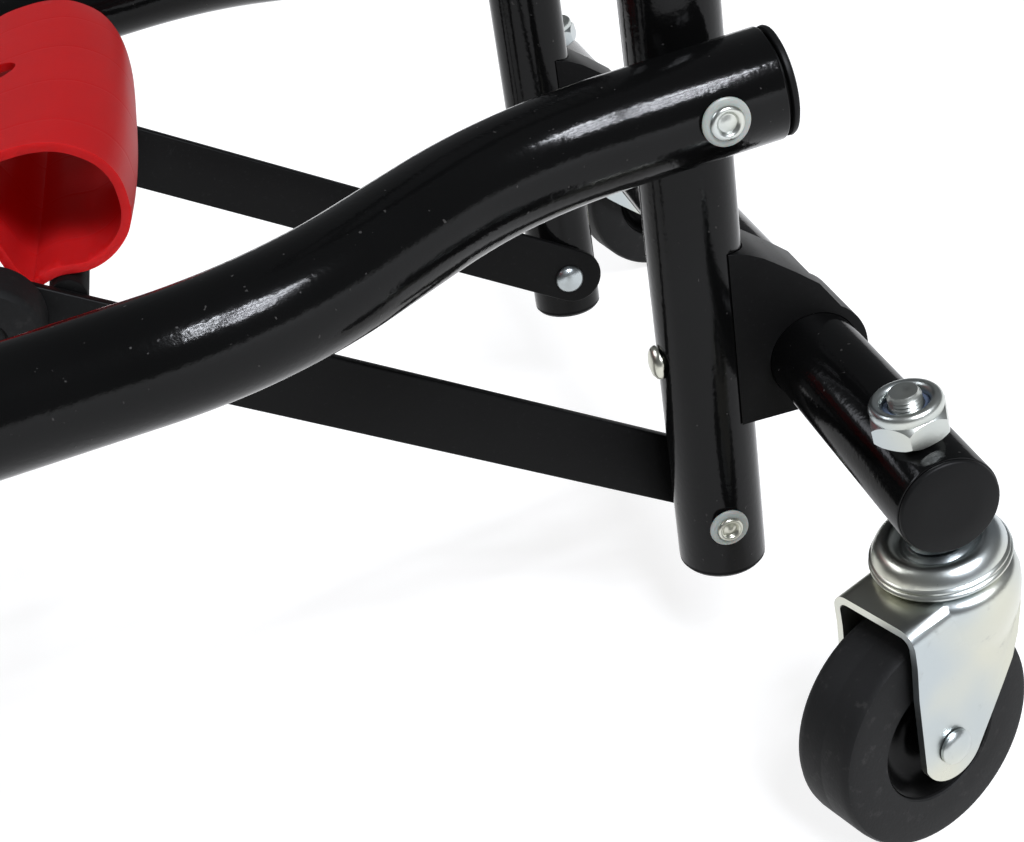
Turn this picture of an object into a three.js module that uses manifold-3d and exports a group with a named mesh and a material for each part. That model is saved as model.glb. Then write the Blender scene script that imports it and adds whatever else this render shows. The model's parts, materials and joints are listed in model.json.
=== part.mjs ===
import * as THREE from 'three';
import { mergeVertices } from 'three/addons/utils/BufferGeometryUtils.js';
import Module from 'manifold-3d';

const wasm = await Module();
wasm.setup();

// Folding transport trolley. Lengths are in millimetres, +Z is up and +X points to the handle end.
// Heights are measured from the pivot of the handle in the platform rails unless a name says floor.
// The casters set how high that pivot stands, and the front axle is hung at its wheel's radius.

// Clearances
const fitGap = 0.3;
const runGap = 0.08;
const weldTolerance = 0.0001;

// Handle frame: one bent tube with two uprights that lean away from the platform
const uprightLeanDegrees = 10;
const uprightRadius = 12.5;
const uprightWall = 1.5;
const uprightHalfSpacing = 90.7;
const pivotToLowerBolt = 128.5;
const pivotToUprightEnd = 145.2;
const pivotToHandleTop = 700;
const handleBendRadius = 45;
const handleCrossHeight = 330;
const handleCrossRadius = 9.5;
const handleCrossWall = 1.3;
const handleGripRadius = 17;
const handleGripEndGap = 1.5;

// Platform rails: bent outward in an S, then level
const railRadius = 13.5;
const railWall = 1.6;
const railToUprightGap = 0.5;
const railRiseDegrees = 4.46;
const railEndPastPivot = 14.3;
const railBendDegrees = 33.8;
const railBendRadius = 85.2;
const railFirstCorner = 49.9;
const railJoggle = 41;
const railLevelStart = 205;
const railLevelRadius = 90;
const platformFront = 780;

// Plastic end caps of the rails
const railCapGap = 0.9;
const railCapFlangeRadius = 13.2;
const railCapFlange = 2.4;
const railCapStub = 8;

// Tubes between the rails
const crossTubeRadius = 11;
const crossTubeWall = 1.5;
const rearTubeFromPivot = 212;
const frontTubeFromPivot = 745;

// Deck board
const deckRear = 235;
const deckThickness = 12;
const deckSideOverhang = 0.5;
const deckFrontInset = 8;
const deckCornerRadius = 18;

// Front wheels, axle and the plates that carry it
const axleFromPivot = 655;
const frontWheelRadius = 100;
const frontWheelWidth = 44;
const frontTyreDepth = 28;
const frontTyreShoulder = 7;
const frontWheelToRail = 6;
const frontRimDepth = 7;
const frontRimWidth = 36;
const frontWebThickness = 7;
const frontBossRadius = 17;
const frontBossOut = 4;
const frontBossInGap = 1;
const axleRadius = 8;
const axlePlateThickness = 5;
const axlePlateTopWidth = 110;
const axlePlateEndRadius = 17;
const axleCapRadius = 14;
const axleCapLength = 12;
const axleCapWall = 3;

// Tube that carries the swivel casters, and the saddle brackets that hold it behind the uprights
const casterTubeBack = 27.6;
const casterTubeDown = 82.4;
const casterTubeRadius = 12.5;
const casterTubeWall = 1.5;
const casterTubeHalf = 181;
const stemInset = 13.4;
const tubePlugFlange = 1.6;
const tubePlugEdge = 0.4;
const tubePlugStub = 6;
const uprightPlugDome = 3;
const uprightPlugStub = 12;
const bracketHalfWidth = 11.5;
const bracketSheet = 2.5;
const bracketRound = 15.2;
const bracketLeftFromTube = -21.8;
const bracketRoof = [[-21.8, 35.1], [-15.6, 33.6], [-9.6, 29.9], [2.4, 20.9]];
const bracketFoot = -15.9;
const bracketRoundStartDegrees = 58;

// Bolts and washers
const pivotBoltRadius = 3;
const pivotHeadRadius = 4;
const pivotHeadHeight = 2;
const pivotWasherRadius = 5.8;
const lowerHeadRadius = 3.6;
const lowerWasherRadius = 5;
const washerThickness = 1.2;
const boltNutRadius = 5;
const boltNutHeight = 3;
const domeRadius = 5.3;
const domeHeight = 2.6;
const bracketBoltHeadRadius = 4.8;
const bracketBoltHeadHeight = 3;

// Braces from the foot of the uprights up to the platform
const braceRiseDegrees = 39.3;
const braceLength = 204;
const braceHalfWidth = 10.2;
const braceEndPastBolt = 1.2;
const braceThickness = 3;
const braceRodAlong = 186.8;
const braceRodAbove = 7.9;
const braceRodRadius = 5;
const bumperRadius = 13.6;
const bumperLength = 15.8;
const bumperEdge = 1.5;

// Red release grip: a hollow moulding that lies on the brace rod and hinges on the rear cross tube
const gripToBarGap = 2.9;
const gripWall = 2.4;
const gripOutline = [
  [-6.2, 5.9], [-2.5, 5.4], [3.5, 5.3], [8.8, 4.9], [15.6, 6.0], [21.6, 9.2], [25.6, 13.4],
  [28.2, 18.6], [28.3, 24.0], [26.0, 29.4], [21.9, 33.9], [16.4, 37.4], [10.0, 39.4], [3.0, 40.2],
  [-5.0, 40.2], [-11.4, 38.6], [-15.4, 34.6], [-15.8, 29.6], [-13.4, 23.6], [-10.9, 16.8], [-9.0, 10.4],
];
const gripArmOffset = 50;
const gripArmThickness = 6;
const gripArmRootLow = 17;
const gripArmRootHigh = 35;
const gripArmReach = 9;
const gripEyeRadius = 16;
const gripFingerOffset = 30;
const gripFingerWidth = 10;
const gripFingerThickness = 4;
const gripFingerGap = 1.2;
const gripFingerDrop = 5;
const gripFingerRise = 9.2;

// Swivel casters
const stemRadius = 4;
const stemTop = 24.8;
const stemCollarRadius = 6;
const stemCollarHeight = 4.4;
const stemHeadRadius = 7;
const stemHeadHeight = 2.1;
const nutCornerRadius = 9.8;
const nutHexHeight = 6.8;
const nutCollarHeight = 3.2;
const nutCollarRadius = 8.2;
const nutTurnDegrees = 37;
const raceProfile = [[8.2, 5.2], [11, 4.6], [14.6, 3.2], [16.8, 1.4], [17.2, 0], [16.9, -1.4], [14.8, -2.6], [10, -3.1]];
const raceDrop = 22.5;
const forkTop = 26;
const forkSheet = 2;
const forkHalfWidth = 13.8;
const forkCheek = [
  [23.5, 0], [23.8, -5], [27.6, -26.7], [28.9, -37.9], [28.2, -43], [25.6, -47], [19.9, -48.7],
  [14.2, -47], [9.5, -42.4], [5.2, -37.4], [-3.5, -27.2], [-9.9, -13], [-12.5, -1], [-12.5, 0],
];
const forkBowl = [[14.4, 0], [17.2, -1.8], [17.8, -4], [17.7, -7.5], [16.9, -12], [15.5, -16.5], [13.6, -21.5], [11, -26]];
const casterTrail = 19.5;
const casterAxleDrop = 64.9;
const casterRadius = 30.5;
const casterHalfWidth = 9.5;
const casterTreadDepth = 13;
const casterTreadEdge = 1.5;
const casterHubFlange = 2.8;
const casterHubFlangeHalf = 8.3;
const casterWebHalf = 3;
const casterBossRadius = 6.5;
const casterRivetRadius = 3;
const casterRivetHeadRadius = 4.7;
const casterRivetHeadHeight = 2.2;
const nearCasterTurnDegrees = 20;
const farCasterTurnDegrees = 190;

// Facets around a round piece
const tubeSides = 20;
const wheelSides = 40;
const plugSides = 18;
const boltSides = 16;
const hubSides = 16;
const crossTubeSides = 32;
const bendSagitta = 0.5;

const origin = new THREE.Vector3();
const unitY = new THREE.Vector3(0, 1, 0);

// Solids

function weld(geometry) {
  const source = geometry.index ? geometry.toNonIndexed() : geometry;
  const plain = new THREE.BufferGeometry();
  plain.setAttribute('position', source.getAttribute('position').clone());
  const joined = mergeVertices(plain, weldTolerance);
  const triangles = [];
  const index = joined.index.array;
  for (let i = 0; i < index.length; i += 3) {
    const [a, b, c] = [index[i], index[i + 1], index[i + 2]];
    if (a !== b && b !== c && c !== a) triangles.push(a, b, c);
  }
  joined.setIndex(triangles);
  return joined;
}

function signedVolume(geometry) {
  const p = geometry.getAttribute('position');
  const index = geometry.index.array;
  const [a, b, c] = [new THREE.Vector3(), new THREE.Vector3(), new THREE.Vector3()];
  let sum = 0;
  for (let i = 0; i < index.length; i += 3) {
    a.fromBufferAttribute(p, index[i]);
    b.fromBufferAttribute(p, index[i + 1]);
    c.fromBufferAttribute(p, index[i + 2]);
    sum += a.dot(b.cross(c));
  }
  return sum;
}

// A closed geometry as a solid, turned the right way out
function solid(geometry) {
  const joined = weld(geometry);
  if (signedVolume(joined) < 0) {
    const index = joined.index.array;
    for (let i = 0; i < index.length; i += 3) [index[i + 1], index[i + 2]] = [index[i + 2], index[i + 1]];
  }
  return new wasm.Manifold(new wasm.Mesh({
    numProp: 3,
    vertProperties: new Float32Array(joined.getAttribute('position').array),
    triVerts: new Uint32Array(joined.index.array),
  }));
}

function cut(base, ...tools) {
  return tools.reduce((left, tool) => left.subtract(tool), base);
}

function join(first, ...others) {
  return others.reduce((sum, other) => sum.add(other), first);
}

function toGeometry(shape) {
  const mesh = shape.getMesh();
  const geometry = new THREE.BufferGeometry();
  geometry.setAttribute('position', new THREE.BufferAttribute(new Float32Array(mesh.vertProperties), 3));
  geometry.setIndex(new THREE.BufferAttribute(new Uint32Array(mesh.triVerts), 1));
  geometry.computeVertexNormals();
  return geometry;
}

// Shapes

// A geometry whose own axis is +Y from 0 is laid from one point towards another
function along(geometry, from, to) {
  const direction = to.clone().sub(from).normalize();
  geometry.applyQuaternion(new THREE.Quaternion().setFromUnitVectors(unitY, direction));
  geometry.translate(from.x, from.y, from.z);
  return geometry;
}

// A round bar or hole; its facets can be turned to match a pin that stands in another frame
function rod(from, to, radius, sides = tubeSides, facetTurn = 0) {
  const length = from.distanceTo(to);
  const geometry = new THREE.CylinderGeometry(radius, radius, length, sides);
  geometry.rotateY(facetTurn);
  geometry.translate(0, length / 2, 0);
  return solid(along(geometry, from, to));
}

// A turned piece: the profile lists radius and distance along the axis
function turned(profile, from, to, sides = boltSides, facetTurn = 0) {
  const points = profile.map(([radius, distance]) => new THREE.Vector2(radius, distance));
  return solid(along(new THREE.LatheGeometry(points, sides, facetTurn), from, to));
}

// A turned piece that starts and ends on its axis
function turnedBar(profile, from, to, sides = boltSides) {
  const first = profile[0];
  const last = profile[profile.length - 1];
  return turned([[0, first[1]], ...profile, [0, last[1]]], from, to, sides);
}

// A turned ring, whose profile closes on itself
function turnedRing(profile, from, to, sides = wheelSides) {
  return turned([...profile, profile[0]], from, to, sides);
}

// A tyre: its facets touch the true circle from outside, and one of them lies flat on the floor
function tyreRing(profile) {
  const halfFacet = Math.PI / wheelSides;
  const widened = profile.map(([radius, distance]) => [radius / Math.cos(halfFacet), distance]);
  return turned([...widened, widened[0]], origin, unitY, wheelSides, halfFacet);
}

// A flat outline in the X and Z directions, given thickness along Y
function plate(points, low, high) {
  const shape = new THREE.Shape(points.map(([x, z]) => new THREE.Vector2(x, z)));
  const geometry = new THREE.ExtrudeGeometry(shape, { depth: high - low, bevelEnabled: false });
  geometry.rotateX(Math.PI / 2);
  geometry.translate(0, high, 0);
  return solid(geometry);
}

function box(low, high) {
  const size = high.clone().sub(low);
  const middle = low.clone().add(high).multiplyScalar(0.5);
  const geometry = new THREE.BoxGeometry(size.x, size.y, size.z);
  geometry.translate(middle.x, middle.y, middle.z);
  return solid(geometry);
}

// Points on an arc, angles in degrees from +X towards +Z
function arcPoints(centre, radius, start, end, steps) {
  const points = [];
  for (let i = 0; i <= steps; i++) {
    const angle = THREE.MathUtils.degToRad(start + (end - start) * i / steps);
    points.push([centre[0] + radius * Math.cos(angle), centre[1] + radius * Math.sin(angle)]);
  }
  return points;
}

// A path through given stations, each with the tangent of the tube there
class StationPath extends THREE.Curve {
  constructor(stations) {
    super();
    this.stations = stations;
  }
  station(t) {
    const last = this.stations.length - 1;
    const place = Math.min(Math.max(t, 0), 1) * last;
    const low = Math.min(Math.floor(place + weldTolerance), last - 1);
    return [this.stations[low], this.stations[low + 1], place - low];
  }
  getPoint(t, target = new THREE.Vector3()) {
    const [a, b, share] = this.station(t);
    return target.copy(a.point).lerp(b.point, share);
  }
  getPointAt(t, target) {
    return this.getPoint(t, target);
  }
  getTangent(t, target = new THREE.Vector3()) {
    const [a, b, share] = this.station(t);
    return target.copy(a.tangent).lerp(b.tangent, share).normalize();
  }
  getTangentAt(t, target) {
    return this.getTangent(t, target);
  }
}

// Corners joined by straight runs, with a bend of the given radius at each inner corner
function bentPath(corners, radii) {
  const stations = [];
  const add = (point, tangent) => stations.push({ point: point.clone(), tangent: tangent.clone() });
  const leg = (i) => corners[i + 1].clone().sub(corners[i]).normalize();
  add(corners[0], leg(0));
  for (let i = 1; i < corners.length - 1; i++) {
    const before = leg(i - 1);
    const after = leg(i);
    const angle = before.angleTo(after);
    const axis = before.clone().cross(after).normalize();
    const start = corners[i].clone().addScaledVector(before, -radii[i - 1] * Math.tan(angle / 2));
    const inward = axis.clone().cross(before);
    const centre = start.clone().addScaledVector(inward, radii[i - 1]);
    const steps = Math.ceil(angle / (2 * Math.acos(1 - bendSagitta / radii[i - 1])));
    for (let k = 0; k <= steps; k++) {
      const turn = angle * k / steps;
      const arm = start.clone().sub(centre).applyAxisAngle(axis, turn);
      add(centre.clone().add(arm), before.clone().applyAxisAngle(axis, turn));
    }
  }
  add(corners[corners.length - 1], leg(corners.length - 2));
  return new StationPath(stations);
}

// A round tube along a path, hollow when it has a wall
function tubeAlong(path, radius, wall, sides = tubeSides) {
  const section = new THREE.Shape().absarc(0, 0, radius, 0, 2 * Math.PI, false);
  if (wall) section.holes.push(new THREE.Path().absarc(0, 0, radius - wall, 0, 2 * Math.PI, true));
  const steps = path.stations.length - 1;
  return solid(new THREE.ExtrudeGeometry(section, { steps, extrudePath: path, curveSegments: sides / 2 }));
}

function straightTube(from, to, radius, wall, sides = tubeSides) {
  return tubeAlong(bentPath([from, to], []), radius, wall, sides);
}

// An outline moved inward by a wall thickness
function inset(points, distance) {
  const count = points.length;
  return points.map((point, i) => {
    const before = points[(i + count - 1) % count];
    const after = points[(i + 1) % count];
    const length = Math.hypot(after[0] - before[0], after[1] - before[1]);
    return [
      point[0] - distance * (after[1] - before[1]) / length,
      point[1] + distance * (after[0] - before[0]) / length,
    ];
  });
}

// Finishes

function finish(color, roughness, metalness) {
  return () => new THREE.MeshStandardMaterial({ color, roughness, metalness });
}

const gloss = finish(0x17181a, 0.22, 0.1);
const satin = finish(0x222325, 0.45, 0.1);
const zinc = finish(0xb9c0c0, 0.3, 0.9);
const rubber = finish(0x2b2b2c, 0.8, 0);
const darkPlastic = finish(0x202122, 0.5, 0);
const hubPlastic = finish(0x0f0f10, 0.25, 0);
const nylon = finish(0xd9dad8, 0.5, 0);
const redPlastic = finish(0xad2b2f, 0.4, 0);
const deckPlastic = finish(0x2a2c2f, 0.65, 0);
const foam = finish(0x1c1c1d, 0.95, 0);

function piece(parent, name, shape, material) {
  const mesh = new THREE.Mesh(toGeometry(shape), material());
  mesh.name = name;
  parent.add(mesh);
  return mesh;
}

const sides = [['near', -1], ['far', 1]];
const at = (x, y, z) => new THREE.Vector3(x, y, z);

const trolley = new THREE.Group();

// Places that several pieces share

const lean = THREE.MathUtils.degToRad(uprightLeanDegrees);
const casterTubeZ = -casterTubeBack * Math.sin(lean) - casterTubeDown * Math.cos(lean);
const pivotFloorHeight = casterRadius + casterAxleDrop - casterTubeZ;
const railRise = THREE.MathUtils.degToRad(railRiseDegrees);
const railSide = uprightHalfSpacing + uprightRadius + railToUprightGap + railRadius;
const railOuterSide = railSide + railJoggle;
const railSecondCorner = railFirstCorner + railJoggle / Math.tan(THREE.MathUtils.degToRad(railBendDegrees));
const railLevel = railLevelStart * Math.sin(railRise);
const railLevelX = -railLevelStart * Math.cos(railRise);
const lowerBoltX = -pivotToLowerBolt * Math.sin(lean);
const lowerBoltZ = -pivotToLowerBolt * Math.cos(lean);
const stemSide = casterTubeHalf - stemInset;
const casterTreadInner = casterRadius - casterTreadDepth;
const uprightInnerSide = uprightHalfSpacing - uprightRadius;
const uprightOuterSide = uprightHalfSpacing + uprightRadius;
const barOuterSide = uprightInnerSide - fitGap;
const barInnerSide = barOuterSide - braceThickness;
const gripHalfLength = barInnerSide - gripToBarGap;
const uprightBore = uprightRadius + fitGap;

// Platform: everything that stays still when the handle folds

const platform = new THREE.Group();
platform.position.z = pivotFloorHeight;
trolley.add(platform);

const rise = (s) => [-s * Math.cos(railRise), s * Math.sin(railRise)];
const axleDrop = frontWheelRadius - pivotFloorHeight;
const frontTyreInner = frontWheelRadius - frontTyreDepth;
const plateBottom = axleDrop;
const plateSide = railOuterSide;
const wheelInnerSide = railOuterSide + railRadius + frontWheelToRail;
const wheelMiddle = wheelInnerSide + frontWheelWidth / 2;
const bossInner = plateSide + axlePlateThickness / 2 + frontBossInGap;
const bossOuter = wheelInnerSide + frontWheelWidth + frontBossOut;
const axleCapStart = bossOuter + fitGap;
const axleEnd = axleCapStart + axleCapLength - axleCapWall - fitGap;

for (const [side, sign] of sides) {
  const corner = (s, offset) => at(rise(s)[0], sign * (railSide + offset), rise(s)[1]);
  const corners = [
    corner(-railEndPastPivot, 0),
    corner(railFirstCorner, 0),
    corner(railSecondCorner, railJoggle),
    at(railLevelX, sign * railOuterSide, railLevel),
    at(-platformFront, sign * railOuterSide, railLevel),
  ];
  const path = bentPath(corners, [railBendRadius, railBendRadius, railLevelRadius]);
  const boltHole = rod(at(0, sign * uprightOuterSide, 0), at(0, sign * (railSide + 2 * railRadius), 0),
    pivotBoltRadius + fitGap, boltSides);
  piece(platform, `rail_${side}`, cut(tubeAlong(path, railRadius, railWall), boltHole), gloss);

  const capProfile = [
    [railRadius - railWall - fitGap, -railCapStub],
    [railRadius - railWall - fitGap, railCapGap],
    [railCapFlangeRadius, railCapGap],
    [railCapFlangeRadius, railCapGap + railCapFlange / 2],
    [railCapFlangeRadius * 0.8, railCapGap + railCapFlange],
  ];
  const rearEnd = corners[0];
  const rearOut = corners[0].clone().multiplyScalar(2).sub(corners[1]);
  piece(platform, `rail_cap_rear_${side}`, turnedBar(capProfile, rearEnd, rearOut, plugSides), darkPlastic);
  const frontEnd = corners[4];
  const frontOut = at(-2 * platformFront, sign * railOuterSide, railLevel);
  piece(platform, `rail_cap_front_${side}`, turnedBar(capProfile, frontEnd, frontOut, plugSides), darkPlastic);

  // The pivot bolt holds the rail to the upright, with a nylon washer under its head
  const railFace = sign * (railSide + railRadius);
  const washerFace = railFace + sign * (fitGap + washerThickness);
  const washer = cut(
    rod(at(0, railFace + sign * fitGap, 0), at(0, washerFace, 0), pivotWasherRadius),
    rod(at(0, railFace - sign * fitGap, 0), at(0, washerFace + sign * fitGap, 0), pivotBoltRadius + fitGap),
  );
  piece(platform, `pivot_washer_${side}`, washer, nylon);
  const boltLength = railSide + railRadius + fitGap + washerThickness + fitGap - uprightInnerSide;
  piece(platform, `pivot_bolt_${side}`, turnedBar([
    [boltNutRadius * 0.7, -boltNutHeight - fitGap],
    [boltNutRadius, -boltNutHeight * 0.5 - fitGap],
    [boltNutRadius, -fitGap],
    [pivotBoltRadius, -fitGap],
    [pivotBoltRadius, boltLength],
    [pivotHeadRadius, boltLength],
    [pivotHeadRadius, boltLength + pivotHeadHeight * 0.6],
    [pivotHeadRadius * 0.8, boltLength + pivotHeadHeight],
  ], at(0, sign * uprightInnerSide, 0), at(0, railFace, 0)), zinc);

  // Plate welded under the rail to carry the front axle
  const plateTop = railLevel;
  const plateOutline = [
    [-axlePlateTopWidth / 2, plateTop],
    [-axlePlateTopWidth / 2, plateTop - railRadius * 1.4],
    ...arcPoints([0, plateBottom], axlePlateEndRadius, 205, 335, 8),
    [axlePlateTopWidth / 2, plateTop - railRadius * 1.4],
    [axlePlateTopWidth / 2, plateTop],
  ].map(([x, z]) => [x - axleFromPivot, z]);
  const plateMiddle = sign * plateSide;
  const axlePlate = cut(
    plate(plateOutline, plateMiddle - axlePlateThickness / 2, plateMiddle + axlePlateThickness / 2),
    rod(at(-axleFromPivot - axlePlateTopWidth, plateMiddle, railLevel),
      at(-axleFromPivot + axlePlateTopWidth, plateMiddle, railLevel), railRadius + fitGap),
    rod(at(-axleFromPivot, plateMiddle - axlePlateThickness, axleDrop),
      at(-axleFromPivot, plateMiddle + axlePlateThickness, axleDrop), axleRadius + fitGap, tubeSides),
  );
  piece(platform, `axle_plate_${side}`, axlePlate, satin);
  const axleCap = turnedBar([
    [axleRadius + fitGap, 0], [axleCapRadius, 0], [axleCapRadius, axleCapLength * 0.7],
    [axleCapRadius * 0.75, axleCapLength],
  ], at(-axleFromPivot, sign * axleCapStart, axleDrop), at(-axleFromPivot, sign * 2 * axleCapStart, axleDrop),
  plugSides);
  const capHollow = rod(at(-axleFromPivot, sign * (axleCapStart - axleCapWall), axleDrop),
    at(-axleFromPivot, sign * (axleCapStart + axleCapLength - axleCapWall), axleDrop), axleRadius + fitGap);
  piece(platform, `axle_cap_${side}`, cut(axleCap, capHollow), zinc);

  // Front wheel: a moulded hub that turns on the axle and a solid tyre
  const wheel = new THREE.Group();
  wheel.position.set(-axleFromPivot, sign * wheelMiddle, axleDrop);
  platform.add(wheel);
  const half = frontWheelWidth / 2;
  const tyre = tyreRing([
    [frontTyreInner, -frontRimWidth / 2],
    [frontTyreInner + frontRimDepth / 2, -half],
    [frontWheelRadius - frontTyreShoulder, -half],
    [frontWheelRadius - frontTyreShoulder * 0.3, -half + frontTyreShoulder * 0.4],
    [frontWheelRadius, -half + frontTyreShoulder],
    [frontWheelRadius, half - frontTyreShoulder],
    [frontWheelRadius - frontTyreShoulder * 0.3, half - frontTyreShoulder * 0.4],
    [frontWheelRadius - frontTyreShoulder, half],
    [frontTyreInner + frontRimDepth / 2, half],
    [frontTyreInner, frontRimWidth / 2],
  ]);
  piece(wheel, `front_tyre_${side}`, tyre, rubber);
  const bore = axleRadius + runGap;
  const rim = frontTyreInner - fitGap;
  const inBoss = -sign * (wheelMiddle - bossInner);
  const outBoss = sign * (bossOuter - wheelMiddle);
  const low = Math.min(inBoss, outBoss);
  const high = Math.max(inBoss, outBoss);
  const hub = turnedRing([
    [bore, low], [frontBossRadius, low],
    [frontBossRadius, -frontWebThickness / 2], [rim - frontRimDepth, -frontWebThickness / 2],
    [rim - frontRimDepth, -frontRimWidth / 2], [rim, -frontRimWidth / 2],
    [rim, frontRimWidth / 2], [rim - frontRimDepth, frontRimWidth / 2],
    [rim - frontRimDepth, frontWebThickness / 2], [frontBossRadius, frontWebThickness / 2],
    [frontBossRadius, high], [bore, high],
  ], origin, unitY);
  piece(wheel, `front_hub_${side}`, hub, hubPlastic);
}

piece(platform, 'front_axle', rod(at(-axleFromPivot, -axleEnd, axleDrop),
  at(-axleFromPivot, axleEnd, axleDrop), axleRadius, wheelSides), zinc);

for (const [name, distance] of [['rear', rearTubeFromPivot], ['front', frontTubeFromPivot]]) {
  const tube = straightTube(at(-distance, -railOuterSide, railLevel), at(-distance, railOuterSide, railLevel),
    crossTubeRadius, crossTubeWall, crossTubeSides);
  const copes = sides.map(([, sign]) => rod(
    at(-distance - 2 * railRadius, sign * railOuterSide, railLevel),
    at(-distance + 2 * railRadius, sign * railOuterSide, railLevel),
    railRadius + fitGap,
  ));
  const ends = sides.map(([, sign]) => box(
    at(-distance - 2 * railRadius, Math.min(sign * railOuterSide, sign * 2 * railOuterSide), railLevel - 2 * railRadius),
    at(-distance + 2 * railRadius, Math.max(sign * railOuterSide, sign * 2 * railOuterSide), railLevel + 2 * railRadius),
  ));
  piece(platform, `cross_tube_${name}`, cut(tube, ...copes, ...ends), gloss);
}

const deckHalfWidth = railOuterSide + railRadius + deckSideOverhang;
const deckBottom = railLevel + railRadius + fitGap;
const deckFront = platformFront - deckFrontInset;
const deckOutline = [
  ...arcPoints([-deckFront + deckCornerRadius, -deckHalfWidth + deckCornerRadius], deckCornerRadius, 180, 270, 5),
  ...arcPoints([-deckRear - deckCornerRadius, -deckHalfWidth + deckCornerRadius], deckCornerRadius, 270, 360, 5),
  ...arcPoints([-deckRear - deckCornerRadius, deckHalfWidth - deckCornerRadius], deckCornerRadius, 0, 90, 5),
  ...arcPoints([-deckFront + deckCornerRadius, deckHalfWidth - deckCornerRadius], deckCornerRadius, 90, 180, 5),
].map(([x, y]) => new THREE.Vector2(x, y));
const deckShape = new THREE.ExtrudeGeometry(new THREE.Shape(deckOutline), { depth: deckThickness, bevelEnabled: false });
deckShape.translate(0, 0, deckBottom);
piece(platform, 'deck_board', solid(deckShape), deckPlastic);

// Handle frame: its own +Z runs up the uprights

const handle = new THREE.Group();
handle.position.z = pivotFloorHeight;
handle.rotation.y = lean;
trolley.add(handle);

const handlePath = bentPath([
  at(0, -uprightHalfSpacing, -pivotToUprightEnd),
  at(0, -uprightHalfSpacing, pivotToHandleTop),
  at(0, uprightHalfSpacing, pivotToHandleTop),
  at(0, uprightHalfSpacing, -pivotToUprightEnd),
], [handleBendRadius, handleBendRadius]);
const handleHoles = [rod(at(0, -railSide, 0), at(0, railSide, 0), pivotBoltRadius + runGap, boltSides, -lean)];
for (const [, sign] of sides) {
  const inner = sign * (uprightInnerSide - uprightWall);
  const outer = sign * (uprightOuterSide + uprightWall);
  handleHoles.push(rod(at(0, inner, -pivotToLowerBolt), at(0, outer, -pivotToLowerBolt),
    pivotBoltRadius + fitGap, boltSides));
  handleHoles.push(rod(at(-2 * uprightRadius, sign * uprightHalfSpacing, -casterTubeDown),
    at(2 * uprightRadius, sign * uprightHalfSpacing, -casterTubeDown), pivotBoltRadius + fitGap, boltSides));
}
piece(handle, 'handle_tube', cut(tubeAlong(handlePath, uprightRadius, uprightWall), ...handleHoles), gloss);

const gripHalf = uprightHalfSpacing - handleBendRadius - handleGripEndGap;
piece(handle, 'handle_grip', turnedRing([
  [uprightRadius + fitGap, -gripHalf], [handleGripRadius - 1.2 * handleGripEndGap, -gripHalf],
  [handleGripRadius, -gripHalf + 2 * handleGripEndGap], [handleGripRadius, gripHalf - 2 * handleGripEndGap],
  [handleGripRadius - 1.2 * handleGripEndGap, gripHalf], [uprightRadius + fitGap, gripHalf],
], at(0, 0, pivotToHandleTop), at(0, 1, pivotToHandleTop), tubeSides), foam);

const handleCross = straightTube(at(0, -uprightHalfSpacing, handleCrossHeight),
  at(0, uprightHalfSpacing, handleCrossHeight), handleCrossRadius, handleCrossWall);
const handleCopes = sides.map(([, sign]) => rod(
  at(0, sign * uprightHalfSpacing, handleCrossHeight - 2 * uprightRadius),
  at(0, sign * uprightHalfSpacing, handleCrossHeight + 2 * uprightRadius), uprightBore));
piece(handle, 'handle_cross_tube', cut(handleCross, ...handleCopes), gloss);

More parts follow.
